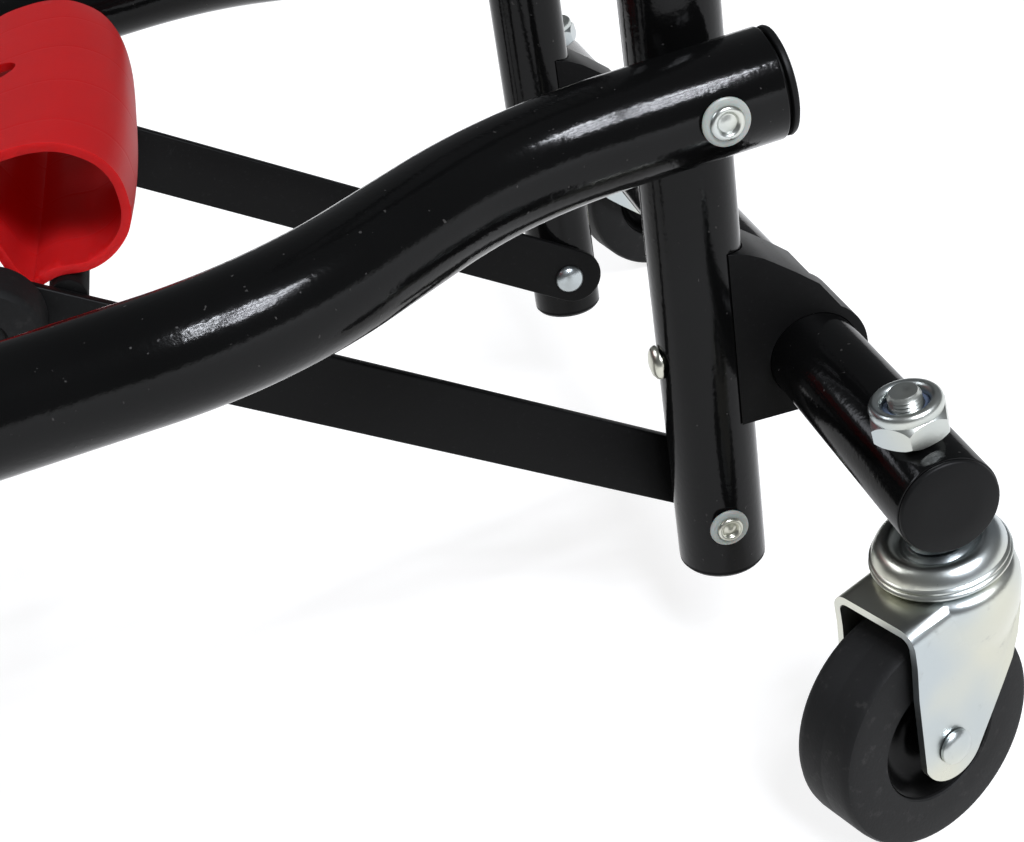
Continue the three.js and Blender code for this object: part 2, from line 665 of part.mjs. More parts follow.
const bracketBoltEnd = casterTubeBack;
for (const [side, sign] of sides) {
  const middle = sign * uprightHalfSpacing;
  const plugInner = uprightRadius - uprightWall - fitGap;
  piece(handle, `upright_plug_${side}`, turnedBar([
    [plugInner, -uprightPlugStub], [plugInner, fitGap], [uprightRadius, fitGap],
    [uprightRadius, uprightPlugDome * 0.4], [uprightRadius * 0.8, uprightPlugDome * 0.85],
    [uprightRadius * 0.4, uprightPlugDome],
  ], at(0, middle, -pivotToUprightEnd), at(0, middle, -2 * pivotToUprightEnd), plugSides), darkPlastic);

  // Saddle bracket: bent sheet that wraps the caster tube and meets the back of the upright
  const fromTube = ([x, z]) => [casterTubeBack + x, z - casterTubeDown];
  const outline = [
    ...bracketRoof,
    ...arcPoints([0, 0], bracketRound, bracketRoundStartDegrees, -90, 12),
    [bracketLeftFromTube, bracketFoot],
  ].map(fromTube);
  const hollow = [
    [2 * bracketLeftFromTube, bracketRoof[0][1] - bracketSheet],
    ...bracketRoof.map(([x, z]) => [x - bracketSheet * 0.35, z - bracketSheet * 1.15]),
    [0, bracketFoot + bracketSheet],
    [2 * bracketLeftFromTube, bracketFoot + bracketSheet],
  ].map(fromTube);
  const bracketInner = bracketHalfWidth - bracketSheet;
  const tubeLine = [at(casterTubeBack, -2 * uprightHalfSpacing, -casterTubeDown),
    at(casterTubeBack, 2 * uprightHalfSpacing, -casterTubeDown)];
  const uprightLine = [at(0, middle, -pivotToUprightEnd), at(0, middle, 0)];
  const bracket = cut(
    plate(outline, middle - bracketHalfWidth, middle + bracketHalfWidth),
    plate(hollow, middle - bracketInner, middle + bracketInner),
    rod(...tubeLine, casterTubeRadius + fitGap),
    rod(...uprightLine, uprightBore),
  );
  piece(handle, `caster_bracket_${side}`, bracket, satin);
  piece(handle, `bracket_bolt_${side}`, turnedBar([
    [bracketBoltHeadRadius * 0.6, -bracketBoltHeadHeight], [bracketBoltHeadRadius, -bracketBoltHeadHeight * 0.35],
    [bracketBoltHeadRadius, 0], [pivotBoltRadius, 0], [pivotBoltRadius, bracketBoltEnd + uprightRadius],
  ], at(-uprightRadius - fitGap, middle, -casterTubeDown), at(uprightRadius, middle, -casterTubeDown)), zinc);

  // Bolt at the foot of the upright: the brace bar turns on it
  const outerFace = uprightOuterSide + fitGap;
  const washer = cut(
    rod(at(0, sign * outerFace, -pivotToLowerBolt), at(0, sign * (outerFace + washerThickness), -pivotToLowerBolt),
      lowerWasherRadius),
    rod(at(0, sign * (outerFace - fitGap), -pivotToLowerBolt),
      at(0, sign * (outerFace + 2 * washerThickness), -pivotToLowerBolt), pivotBoltRadius + fitGap),
  );
  piece(handle, `lower_washer_${side}`, washer, nylon);
  const lowerLength = outerFace + washerThickness + fitGap - barInnerSide;
  piece(handle, `lower_bolt_${side}`, turnedBar([
    [domeRadius * 0.5, -domeHeight - fitGap], [domeRadius * 0.85, -domeHeight * 0.7 - fitGap],
    [domeRadius, -fitGap], [pivotBoltRadius, -fitGap], [pivotBoltRadius, lowerLength],
    [lowerHeadRadius, lowerLength], [lowerHeadRadius, lowerLength + pivotHeadHeight * 0.6],
    [lowerHeadRadius * 0.8, lowerLength + pivotHeadHeight],
  ], at(0, sign * barInnerSide, -pivotToLowerBolt), at(0, sign * outerFace, -pivotToLowerBolt)), zinc);
}

// Caster tube, turned back level so that the caster stems stand upright

const casterFrame = new THREE.Group();
casterFrame.position.set(casterTubeBack, 0, -casterTubeDown);
casterFrame.rotation.y = -lean;
handle.add(casterFrame);

const tubeHoles = [];
for (const [, sign] of sides) {
  tubeHoles.push(rod(at(0, sign * stemSide, -2 * casterTubeRadius), at(0, sign * stemSide, 2 * casterTubeRadius),
    stemRadius + fitGap, boltSides));
  const boltFrom = at(-2 * casterTubeRadius * Math.cos(lean), sign * uprightHalfSpacing, 2 * casterTubeRadius * Math.sin(lean));
  tubeHoles.push(rod(boltFrom, at(0, sign * uprightHalfSpacing, 0), pivotBoltRadius + fitGap, boltSides));
}
piece(casterFrame, 'caster_tube', cut(
  straightTube(at(0, -casterTubeHalf, 0), at(0, casterTubeHalf, 0), casterTubeRadius, casterTubeWall),
  ...tubeHoles,
), gloss);

const turns = { near: nearCasterTurnDegrees, far: farCasterTurnDegrees };
for (const [side, sign] of sides) {
  const plugInner = casterTubeRadius - casterTubeWall - fitGap;
  piece(casterFrame, `caster_tube_plug_${side}`, turnedBar([
    [plugInner, -tubePlugStub], [plugInner, fitGap], [casterTubeRadius - tubePlugEdge, fitGap],
    [casterTubeRadius - tubePlugEdge, tubePlugFlange * 0.6], [casterTubeRadius - 2 * tubePlugEdge - fitGap, tubePlugFlange],
  ], at(0, sign * casterTubeHalf, 0), at(0, sign * 2 * casterTubeHalf, 0), plugSides), darkPlastic);

  const caster = new THREE.Group();
  caster.position.y = sign * stemSide;
  casterFrame.add(caster);
  const up = at(0, 0, 1);
  const collarTop = -casterTubeRadius - fitGap;
  const plateUnder = -forkTop - forkSheet - fitGap;
  piece(caster, `caster_stem_${side}`, turnedBar([
    [stemHeadRadius * 0.8, plateUnder - stemHeadHeight], [stemHeadRadius, plateUnder - stemHeadHeight * 0.5],
    [stemHeadRadius, plateUnder], [stemRadius, plateUnder],
    [stemRadius, collarTop - stemCollarHeight], [stemCollarRadius, collarTop - stemCollarHeight],
    [stemCollarRadius, collarTop], [stemRadius, collarTop], [stemRadius, stemTop],
  ], origin, up, tubeSides), zinc);
  const raceBore = stemRadius + fitGap;
  const raceTop = raceProfile[0][1];
  const raceFoot = raceProfile[raceProfile.length - 1][1];
  piece(caster, `caster_race_${side}`, turnedRing([
    [raceBore, raceFoot - raceDrop], [raceBore, raceTop - raceDrop],
    ...raceProfile.map(([radius, z]) => [radius, z - raceDrop]),
  ], origin, up, tubeSides), zinc);
  const nutBottom = casterTubeRadius + fitGap;
  const nutTop = nutBottom + nutHexHeight;
  const nut = join(
    rod(at(0, 0, nutBottom), at(0, 0, nutTop), nutCornerRadius, 6, THREE.MathUtils.degToRad(nutTurnDegrees)),
    turnedBar([[nutCollarRadius + fitGap, nutTop - fitGap], [nutCollarRadius + fitGap, nutTop + nutCollarHeight / 2],
      [nutCollarRadius, nutTop + nutCollarHeight]], origin, up, tubeSides),
  );
  piece(caster, `stem_nut_${side}`, cut(nut, rod(origin, at(0, 0, 2 * nutTop), stemRadius + fitGap)), zinc);

  // Fork, wheel and rivet turn together about the stem; the wheel trails towards -X of this group
  const swivel = new THREE.Group();
  swivel.rotation.z = THREE.MathUtils.degToRad(turns[side]);
  caster.add(swivel);
  const cheek = forkCheek.map(([trail, z]) => [-trail, z - forkTop]);
  const forkInner = forkHalfWidth - forkSheet;
  const forkRoof = -forkTop - forkSheet;
  const farAway = 2 * casterAxleDrop;
  const bowl = forkBowl.map(([radius, z]) => [radius, z - forkTop]);
  const bowlInside = [[forkBowl[0][0] - forkSheet / 2, forkRoof], ...bowl.slice(1)
    .map(([radius, z]) => [radius - forkSheet, Math.min(z, forkRoof)])];
  const fork = cut(
    join(plate(cheek, -forkHalfWidth, forkHalfWidth), turnedBar(bowl, origin, up, tubeSides)),
    turnedBar(bowlInside, origin, up, tubeSides),
    box(at(-farAway, -forkInner, -farAway), at(farAway, forkInner, forkRoof)),
    rod(at(0, 0, -farAway), origin, stemRadius + runGap, tubeSides, -swivel.rotation.z),
    rod(at(-casterTrail, -farAway, -casterAxleDrop), at(-casterTrail, farAway, -casterAxleDrop),
      casterRivetRadius + fitGap, hubSides),
  );
  piece(swivel, `caster_fork_${side}`, fork, zinc);

  const wheel = new THREE.Group();
  wheel.position.set(-casterTrail, 0, -casterAxleDrop);
  swivel.add(wheel);
  const rivetHalf = forkHalfWidth + fitGap;
  piece(wheel, `caster_rivet_${side}`, turnedBar([
    [casterRivetHeadRadius * 0.6, -rivetHalf - casterRivetHeadHeight],
    [casterRivetHeadRadius, -rivetHalf - casterRivetHeadHeight * 0.4], [casterRivetHeadRadius, -rivetHalf],
    [casterRivetRadius, -rivetHalf], [casterRivetRadius, rivetHalf],
    [casterRivetHeadRadius, rivetHalf], [casterRivetHeadRadius, rivetHalf + casterRivetHeadHeight * 0.4],
    [casterRivetHeadRadius * 0.6, rivetHalf + casterRivetHeadHeight],
  ], origin, unitY, hubSides), zinc);
  const shoulder = casterRadius - casterTreadEdge;
  piece(wheel, `caster_tread_${side}`, tyreRing([
    [casterTreadInner, -casterHalfWidth], [shoulder, -casterHalfWidth],
    [casterRadius, -casterHalfWidth + casterTreadEdge], [casterRadius, casterHalfWidth - casterTreadEdge],
    [shoulder, casterHalfWidth], [casterTreadInner, casterHalfWidth],
  ]), rubber);
  const hubOuter = casterTreadInner - fitGap;
  const hubInner = hubOuter - casterHubFlange;
  const bossHalf = forkInner - fitGap;
  const bore = casterRivetRadius + runGap;
  piece(wheel, `caster_hub_${side}`, turnedRing([
    [bore, -bossHalf], [casterBossRadius, -bossHalf], [casterBossRadius, -casterWebHalf],
    [hubInner, -casterWebHalf], [hubInner, -casterHubFlangeHalf], [hubOuter, -casterHubFlangeHalf],
    [hubOuter, casterHubFlangeHalf], [hubInner, casterHubFlangeHalf], [hubInner, casterWebHalf],
    [casterBossRadius, casterWebHalf], [casterBossRadius, bossHalf], [bore, bossHalf],
  ], origin, unitY, hubSides), hubPlastic);
}

// Braces: flat bars that turn on the lower bolts and a rod that joins their upper ends

const braceFrame = new THREE.Group();
braceFrame.position.set(lowerBoltX, 0, pivotFloorHeight + lowerBoltZ);
trolley.add(braceFrame);
const braceRise = THREE.MathUtils.degToRad(braceRiseDegrees);
const onBrace = (length, above) => [
  -length * Math.cos(braceRise) + above * Math.sin(braceRise),
  length * Math.sin(braceRise) + above * Math.cos(braceRise),
];
const [braceEndX, braceEndZ] = onBrace(braceLength, 0);
const [braceRodX, braceRodZ] = onBrace(braceRodAlong, braceRodAbove);

for (const [side, sign] of sides) {
  const normal = 90 - braceRiseDegrees;
  const outline = [
    ...arcPoints(onBrace(-braceEndPastBolt, 0), braceHalfWidth, normal - 180, normal, 10),
    ...arcPoints([braceEndX, braceEndZ], braceHalfWidth, normal, normal + 180, 10),
  ];
  const low = Math.min(sign * barInnerSide, sign * barOuterSide);
  const high = Math.max(sign * barInnerSide, sign * barOuterSide);
  const bar = cut(plate(outline, low, high),
    rod(at(0, low - braceThickness, 0), at(0, high + braceThickness, 0), pivotBoltRadius + runGap, boltSides, lean));
  piece(braceFrame, `brace_bar_${side}`, bar, satin);
  const bumperFrom = sign * (barOuterSide + fitGap);
  piece(braceFrame, `brace_bumper_${side}`, turnedBar([
    [bumperRadius, 0], [bumperRadius, bumperLength - bumperEdge], [bumperRadius - bumperEdge, bumperLength],
  ], at(braceEndX, bumperFrom, braceEndZ), at(braceEndX, 2 * bumperFrom, braceEndZ), tubeSides), rubber);
}
const rodEnd = barInnerSide - fitGap;
piece(braceFrame, 'brace_rod', rod(at(braceRodX, -rodEnd, braceRodZ), at(braceRodX, rodEnd, braceRodZ),
  braceRodRadius, boltSides), satin);

// Release grip, drawn from the centre of the brace rod

const gripFrame = new THREE.Group();
gripFrame.position.set(lowerBoltX + braceRodX, 0, pivotFloorHeight + lowerBoltZ + braceRodZ);
trolley.add(gripFrame);
const eyeX = -rearTubeFromPivot - lowerBoltX - braceRodX;
const eyeZ = railLevel - lowerBoltZ - braceRodZ;
const gripLeft = Math.min(...gripOutline.map(([x]) => x));
const arms = sides.map(([, sign]) => {
  const root = gripLeft + gripArmReach;
  const tilt = THREE.MathUtils.radToDeg(Math.atan2(gripArmRootHigh - eyeZ - gripEyeRadius, root - eyeX));
  const outline = [
    [root, gripArmRootLow], [root, gripArmRootHigh],
    ...arcPoints([eyeX, eyeZ], gripEyeRadius, 90 + tilt, 270, 12),
  ];
  return plate(outline, sign * gripArmOffset - gripArmThickness / 2, sign * gripArmOffset + gripArmThickness / 2);
});
const fingers = sides.map(([, sign]) => box(
  at(braceRodRadius + gripFingerGap, sign * gripFingerOffset - gripFingerWidth / 2, -gripFingerDrop),
  at(braceRodRadius + gripFingerGap + gripFingerThickness, sign * gripFingerOffset + gripFingerWidth / 2, gripFingerRise),
));
const gripInner = inset(gripOutline, gripWall);
const gripShell = join(plate(gripOutline, -gripHalfLength, gripHalfLength), ...arms, ...fingers);
const gripHollow = plate(gripInner, -2 * gripHalfLength, 2 * gripHalfLength);
const eyeBore = rod(at(eyeX, -gripHalfLength, eyeZ), at(eyeX, gripHalfLength, eyeZ), crossTubeRadius + runGap,
  crossTubeSides);
piece(gripFrame, 'release_grip', cut(gripShell, gripHollow, eyeBore), redPlastic);

// The origin lies on the floor under the middle of the trolley's box
trolley.updateMatrixWorld(true);
const bounds = new THREE.Box3().setFromObject(trolley, true);
const middle = bounds.getCenter(new THREE.Vector3());
trolley.position.set(-middle.x, -middle.y, -bounds.min.z);
trolley.updateMatrixWorld(true);

export default trolley;
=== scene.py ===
# %% [markdown]
# # A folding transport trolley
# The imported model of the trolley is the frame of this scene: it says how large each piece is and
# where it stands. Each cell below makes one piece, or one finish, and fits it to that frame.
# A size in a cell is in millimetres, because the real parts are drawn so. A piece is drawn near
# its own pivot, bolt or wheel, and moved into place in metres when it is done.

# %% Load the frame
import json
import math

import bmesh
import bpy
from mathutils import Matrix, Vector


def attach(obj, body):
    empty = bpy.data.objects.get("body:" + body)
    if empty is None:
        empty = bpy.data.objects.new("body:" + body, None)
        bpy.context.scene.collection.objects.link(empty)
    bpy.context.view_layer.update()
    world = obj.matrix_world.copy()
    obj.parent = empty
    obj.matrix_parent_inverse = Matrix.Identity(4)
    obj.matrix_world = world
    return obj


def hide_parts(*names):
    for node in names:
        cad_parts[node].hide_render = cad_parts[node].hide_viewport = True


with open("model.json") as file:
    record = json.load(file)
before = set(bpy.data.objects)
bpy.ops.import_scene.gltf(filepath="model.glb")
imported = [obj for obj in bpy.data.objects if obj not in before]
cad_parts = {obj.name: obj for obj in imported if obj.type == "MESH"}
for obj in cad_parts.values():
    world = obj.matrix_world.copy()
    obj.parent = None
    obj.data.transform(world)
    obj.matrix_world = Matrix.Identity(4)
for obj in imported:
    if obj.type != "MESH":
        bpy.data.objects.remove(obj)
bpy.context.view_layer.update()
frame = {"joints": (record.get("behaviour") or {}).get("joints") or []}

# %% [markdown]
# ## The camera
# The picture was taken from beside the platform, above the floor and close to the handle end,
# with the camera rolled to one side. A camera can be aimed with a Track To constraint, but that
# keeps it level. Here its own three axes are given, so the roll is right too.

# %% Place the camera
camera_at = Vector((0.24012, -0.45951, 0.32732))
camera_looks = Vector((0.03064, 0.85660, -0.51507)).normalized()
camera_right = Vector((0.92475, -0.21987, -0.31064)).normalized()
camera_up = camera_right.cross(camera_looks)

lens = bpy.data.cameras.new("camera")
lens.sensor_width = 36.0
lens.lens = 56.04
lens.clip_start = 0.01
camera = bpy.data.objects.new("camera", lens)
bpy.context.scene.collection.objects.link(camera)
turned_axes = Matrix((camera_right, camera_up, -camera_looks)).transposed()
camera.matrix_world = Matrix.Translation(camera_at) @ turned_axes.to_4x4()
bpy.context.scene.camera = camera
print("camera at", tuple(round(c, 3) for c in camera_at))

# %% [markdown]
# ## Floor and light
# The trolley was pictured under rows of ceiling tubes, which draw broken streaks on the bends of
# the rails. Four rows of long, narrow area lights do the same, and each row has a gap. A wide soft
# light stands behind. The floor is white and glows, because the real picture hardly shows a
# shadow there.

# %% Make the floor, the ceiling tubes and the sky
def ceiling_tube(at, length, width, watts):
    light = bpy.data.lights.new("ceiling_tube", "AREA")
    light.shape = "RECTANGLE"
    light.size, light.size_y = length, width
    light.energy = watts
    light.color = (0.90, 0.93, 1.0)
    lamp = bpy.data.objects.new("ceiling_tube", light)
    bpy.context.scene.collection.objects.link(lamp)
    lamp.location = at
    return lamp


floor_bm = bmesh.new()
bmesh.ops.create_grid(floor_bm, x_segments=1, y_segments=1, size=40)
floor_mesh = bpy.data.meshes.new("floor")
floor_bm.to_mesh(floor_mesh)
floor_bm.free()
floor = bpy.data.objects.new("floor", floor_mesh)
bpy.context.scene.collection.objects.link(floor)

ceiling = 2.2
lamp_width = 0.10
watts_per_metre = 43
for row_y, ends in ((-1.50, (0.50, 0.88, 1.04, 1.88)), (-1.82, (0.55, 0.90, 1.06, 1.86)),
                    (-2.16, (0.58, 0.91, 1.08, 1.86)), (-2.54, (0.62, 0.93, 1.10, 1.90))):
    for start, end in zip(ends[::2], ends[1::2]):
        ceiling_tube(((start + end) / 2, row_y, ceiling), end - start, lamp_width,
                     watts_per_metre * (end - start))
soft_side = ceiling_tube((-1.6, 0.9, 2.4), 1.6, 1.2, 38)
soft_side.rotation_euler = (-soft_side.location).to_track_quat("-Z", "Y").to_euler()
sky = bpy.data.worlds.new("sky")
bpy.context.scene.world = sky
sky.use_nodes = True
background = sky.node_tree.nodes["Background"]
background.inputs["Color"].default_value = (0.93, 0.96, 1.0, 1)
background.inputs["Strength"].default_value = 0.17
bpy.context.scene.view_settings.view_transform = "Standard"

# %% [markdown]
# ## Writing a finish as sums
# A finish is a graph of nodes. Wiring one by hand is slow to read, so a Field stands for a value
# that changes over the surface, and sums with it add the Math nodes. A Paint holds the material.

# %% Define Field and Paint
class Field:
    def __init__(self, paint, socket):
        self.paint = paint
        self.socket = socket

    def maths(self, operation, other):
        return self.paint.node("ShaderNodeMath", {"operation": operation}, {0: self, 1: other})

    def __add__(self, other):
        return self.maths("ADD", other)

    def __mul__(self, other):
        return self.maths("MULTIPLY", other)

    def step(self, low, high):
        """0 below low, 1 above high, and a smooth rise between them."""
        settings = {"interpolation_type": "SMOOTHSTEP"}
        sockets = {"Value": self, "From Min": low, "From Max": high}
        return self.paint.node("ShaderNodeMapRange", settings, sockets)


class Paint:
    def __init__(self, name, **constants):
        self.material = bpy.data.materials.new(name)
        self.material.use_nodes = True
        self.tree = self.material.node_tree
        self.shader = self.tree.nodes["Principled BSDF"]
        for socket, value in constants.items():
            self.shader.inputs[socket.replace("_", " ")].default_value = value
        self.here = self.node("ShaderNodeTexCoord", out="Object")

    def node(self, kind, settings=(), sockets=(), out=0):
        made = self.tree.nodes.new(kind)
        for key, value in dict(settings).items():
            setattr(made, key, value)
        for key, value in dict(sockets).items():
            self.feed(made.inputs[key], value)
        return Field(self, made.outputs[out])

    def feed(self, socket, value):
        if isinstance(value, Field):
            self.tree.links.new(value.socket, socket)
        else:
            socket.default_value = value

    def noise(self, scale, detail=2.0, roughness=0.5):
        sockets = {"Vector": self.here, "Scale": scale, "Detail": detail, "Roughness": roughness}
        return self.node("ShaderNodeTexNoise", {}, sockets)

    def mix(self, factor, first, second):
        sockets = {0: factor, 6: first, 7: second}
        return self.node("ShaderNodeMix", {"data_type": "RGBA"}, sockets, out=2)

    def bump(self, height, distance, strength=1.0):
        sockets = {"Height": height, "Distance": distance, "Strength": strength}
        return self.node("ShaderNodeBump", {}, sockets)

    def set(self, color, roughness=None, normal=None):
        for name, value in (("Base Color", color), ("Roughness", roughness), ("Normal", normal)):
            if value is not None:
                self.feed(self.shader.inputs[name], value)
        return self.material


def grey(value, warm=0.0):
    return (value * (1 + warm), value, value * (1 - warm), 1)


print("Field and Paint are ready")

# %% [markdown]
# ## Black coats
# The tubes have a gloss stove enamel. It isn't perfectly flat: it has a fine orange peel, and
# dust settles on it as pale specks. The pressed sheet and the bars have the same coat, rubbed
# to a satin. Noise in metres keeps the grain at its true size.

# %% Make the gloss and the satin coat
def gloss_coat():
    paint = Paint("gloss_coat", Specular_IOR_Level=0.16)
    cloud = paint.noise(22, 3)
    specks = paint.noise(620, 1).step(0.74, 0.80)
    color = paint.mix(cloud, grey(0.0012), grey(0.0030))
    color = paint.mix(specks * 0.5, color, grey(0.05, 0.05))
    peel = paint.noise(620, 2) + paint.noise(60, 2) * 0.6
    return paint.set(color, cloud * 0.06 + 0.095 + specks * 0.3, paint.bump(peel, 0.00009, 0.5))


def satin_coat():
    paint = Paint("satin_coat", Specular_IOR_Level=0.09)
    cloud = paint.noise(35, 3)
    wear = paint.noise(900, 2).step(0.62, 0.75)
    color = paint.mix(cloud, grey(0.0022), grey(0.0040))
    color = paint.mix(wear * 0.2, color, grey(0.02))
    grain = paint.noise(1600, 2)
    return paint.set(color, cloud * 0.10 + 0.36 + wear * 0.1, paint.bump(grain, 0.00004, 0.5))


gloss_black = gloss_coat()
satin_black = satin_coat()
print("finishes:", gloss_black.name, satin_black.name)

# %% [markdown]
# ## Zinc plate
# Bolts, forks and bearing cups are zinc plated. The passivation tints the metal in faint warm
# and blue clouds, and the plate has a soft grain. The tint is small, so it goes into the base
# colour and the roughness only.

# %% Make the zinc plate
def zinc_plate():
    paint = Paint("zinc_plate", Metallic=1.0)
    cloud = paint.noise(45, 3)
    tint = paint.noise(26, 2)
    stain = paint.noise(160, 4, 0.65).step(0.60, 0.78)
    color = paint.mix(tint.step(0.35, 0.65), (0.44, 0.48, 0.49, 1), (0.56, 0.56, 0.48, 1))
    color = paint.mix(stain * 0.5, color, (0.30, 0.31, 0.30, 1))
    grain = paint.noise(700, 3) + paint.noise(90, 2) * 0.8
    return paint.set(color, cloud * 0.16 + 0.22 + stain * 0.15, paint.bump(grain, 0.00006, 0.4))


zinc = zinc_plate()
print("finish:", zinc.name)

# %% [markdown]
# ## Rubber and plastics
# Moulded rubber is dull and holds dust. Hard plastic is smoother, and the caster hub is almost
# a mirror. Nylon lets some light in, which Subsurface gives. The red grip is a satin moulding
# with a fine eroded grain. Its walls are thin, and a weak red emission stands in for the light
# that they let through.

# %% Make the rubber and the plastics
def rubber(name, value, rough, dust):
    paint = Paint(name, Specular_IOR_Level=0.12)
    cloud = paint.noise(70, 4, 0.6)
    dusty = paint.noise(260, 4, 0.7).step(0.56, 0.72)
    color = paint.mix(cloud, grey(value * 0.8), grey(value * 1.2))
    color = paint.mix(dusty * dust, color, grey(0.06, 0.05))
    grain = paint.noise(1100, 3) + cloud
    return paint.set(color, cloud * 0.12 + rough, paint.bump(grain, 0.0001, 0.5))


def plastic(name, low, high, rough, grain_scale=1400, grain_depth=0.00004, **constants):
    paint = Paint(name, **constants)
    cloud = paint.noise(40, 3)
    grain = paint.noise(grain_scale, 2)
    normal = paint.bump(grain, grain_depth, 0.5)
    return paint.set(paint.mix(cloud, low, high), cloud * 0.08 + rough, normal)


tread_rubber = rubber("tread_rubber", 0.0085, 0.5, 0.2)
tyre_rubber = rubber("tyre_rubber", 0.0055, 0.6, 0.1)
plug_plastic = plastic("plug_plastic", grey(0.0035), grey(0.0055), 0.40, Specular_IOR_Level=0.1)
hub_plastic = plastic("hub_plastic", grey(0.0012), grey(0.0022), 0.26, 300, 0.00003,
                      Specular_IOR_Level=0.07)
nylon = plastic("nylon", (0.20, 0.215, 0.20, 1), (0.28, 0.30, 0.28, 1), 0.34, 900, 0.00003,
                Subsurface_Weight=0.3, Subsurface_Scale=0.002)
red_moulding = plastic("red_moulding", (0.26, 0.0045, 0.0055, 1), (0.30, 0.0065, 0.0075, 1),
                       0.46, 1300, 0.00005, Specular_IOR_Level=0.12, Subsurface_Weight=0.5,
                       Subsurface_Scale=0.008, Subsurface_Radius=(1.0, 0.05, 0.04),
                       Emission_Color=(1, 0, 0, 1), Emission_Strength=0.05)
nut_nylon = plastic("nut_nylon", (0.05, 0.07, 0.11, 1), (0.08, 0.10, 0.15, 1), 0.3, 900, 0.00003)
deck_moulding = plastic("deck_moulding", grey(0.014), grey(0.020), 0.52, 800, 0.0002,
                        Specular_IOR_Level=0.25)
foam = rubber("foam", 0.012, 0.8, 0.05)
print("finishes:", len(bpy.data.materials))

floor_paint = Paint("white_sweep", Roughness=0.9, Specular_IOR_Level=0.0, Emission_Strength=0.83,
                    Emission_Color=(1, 1, 1, 1))
floor_cloud = floor_paint.noise(3, 2)
floor_mesh.materials.append(floor_paint.set(floor_paint.mix(floor_cloud, grey(0.34), grey(0.36))))

# %% [markdown]
# ## Where the pieces are drawn
# The joints of the frame give the places that matter: the pivot of the handle, the foot bolt of
# the braces and the wheels. The handle leans ten degrees, so its pieces are drawn upright and
# tilted as a whole. The casters hang under it, turned back until they are level.

# %% Set the drawing places
joint_at = {joint["name"]: Vector(joint["pos_m"]) for joint in frame["joints"]}
millimetres = Matrix.Scale(0.001, 4)
lean = math.radians(10)
sides = {"near": -1, "far": 1}

at_pivot = Matrix.Translation(joint_at["handle_fold"]) @ millimetres
on_handle = at_pivot @ Matrix.Rotation(lean, 4, "Y")
to_caster_tube = Matrix.Translation((27.6, 0, -82.4))
on_caster_tube = on_handle @ to_caster_tube @ Matrix.Rotation(-lean, 4, "Y")
on_brace = Matrix.Translation(joint_at["brace_swing"]) @ millimetres
print("pivot height in mm:", round(joint_at["handle_fold"].z * 1000, 1))

# %% [markdown]
# ## Helpers for drawing
# Most pieces are turned on a lathe, bent from tube or cut from sheet. Spin makes the first, a
# ring that is extruded along its legs and spun round its corners makes the second, and a face
# with some thickness makes the third. Each finished piece is moved into place, its edges are
# marked sharp or smooth by their angle, it is tied to its body, and the node of the frame that it
# replaces is hidden.

# %% Finish a piece
def fasten(piece, body, nodes):
    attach(piece, body)
    if nodes:
        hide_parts(*nodes)
    return piece


def put(bm, name, place, finish, body, nodes=(), crease=38):
    bmesh.ops.transform(bm, matrix=place, verts=bm.verts)
    bmesh.ops.remove_doubles(bm, verts=bm.verts, dist=0.000002)
    bmesh.ops.recalc_face_normals(bm, faces=bm.faces)
    for face in bm.faces:
        face.smooth = True
    for edge in bm.edges:
        edge.smooth = edge.calc_face_angle(0) < math.radians(crease)
    mesh = bpy.data.meshes.new(name)
    bm.to_mesh(mesh)
    bm.free()
    mesh.materials.append(finish)
    piece = bpy.data.objects.new(name, mesh)
    bpy.context.scene.collection.objects.link(piece)
    print(name, len(mesh.polygons), "faces")
    return fasten(piece, body, nodes)


# %% Turn, bend and cut
def turn(bm, profile, centre=(0, 0, 0), axis=(0, 0, 1), steps=48):
    """Spins a profile of (radius, distance along the axis) round the axis."""
    centre, axis = Vector(centre), Vector(axis).normalized()
    side = axis.orthogonal().normalized()
    verts = [bm.verts.new(centre + side * radius + axis * along) for radius, along in profile]
    edges = [bm.edges.new(pair) for pair in zip(verts, verts[1:])]
    bmesh.ops.spin(bm, geom=verts + edges, cent=centre, axis=axis, angle=2 * math.pi, steps=steps,
                   use_merge=True)
    bmesh.ops.remove_doubles(bm, verts=bm.verts, dist=0.0005)


def grow(bm, geom, move):
    """Extrudes a ring of edges and moves the new ring."""
    edges = [g for g in geom if isinstance(g, bmesh.types.BMEdge)]
    made = bmesh.ops.extrude_edge_only(bm, edges=edges)["geom"]
    verts = [g for g in made if isinstance(g, bmesh.types.BMVert)]
    bmesh.ops.translate(bm, verts=verts, vec=move)
    return [g for g in made if not isinstance(g, bmesh.types.BMFace)]


def ring(bm, centre, axis, radius, count=48):
    turned = Vector((0, 0, 1)).rotation_difference(axis).to_matrix().to_4x4()
    place = Matrix.Translation(centre) @ turned
    verts = bmesh.ops.create_circle(bm, segments=count, radius=radius, matrix=place)["verts"]
    return verts + list({edge for vert in verts for edge in vert.link_edges})


def bent_tube(bm, corners, bends, radius, wall, count=48, arc_step=4):
    corners = [Vector(corner) for corner in corners]
    legs = [(b - a).normalized() for a, b in zip(corners, corners[1:])]
    geom = ring(bm, corners[0], legs[0], radius, count)
    here = corners[0]
    for corner, bend, before, after in zip(corners[1:-1], bends, legs, legs[1:]):
        angle = before.angle(after)
        reach = bend * math.tan(angle / 2)
        geom = grow(bm, geom, corner - before * reach - here)
        axis = before.cross(after).normalized()
        centre = corner - before * reach + axis.cross(before) * bend
        steps = math.ceil(math.degrees(angle) / arc_step)
        spun = bmesh.ops.spin(bm, geom=geom, cent=centre, axis=axis, angle=angle, steps=steps)
        geom = spun["geom_last"]
        here = corner + after * reach
    grow(bm, geom, corners[-1] - here)
    bmesh.ops.recalc_face_normals(bm, faces=bm.faces)
    bmesh.ops.solidify(bm, geom=bm.faces[:], thickness=wall)


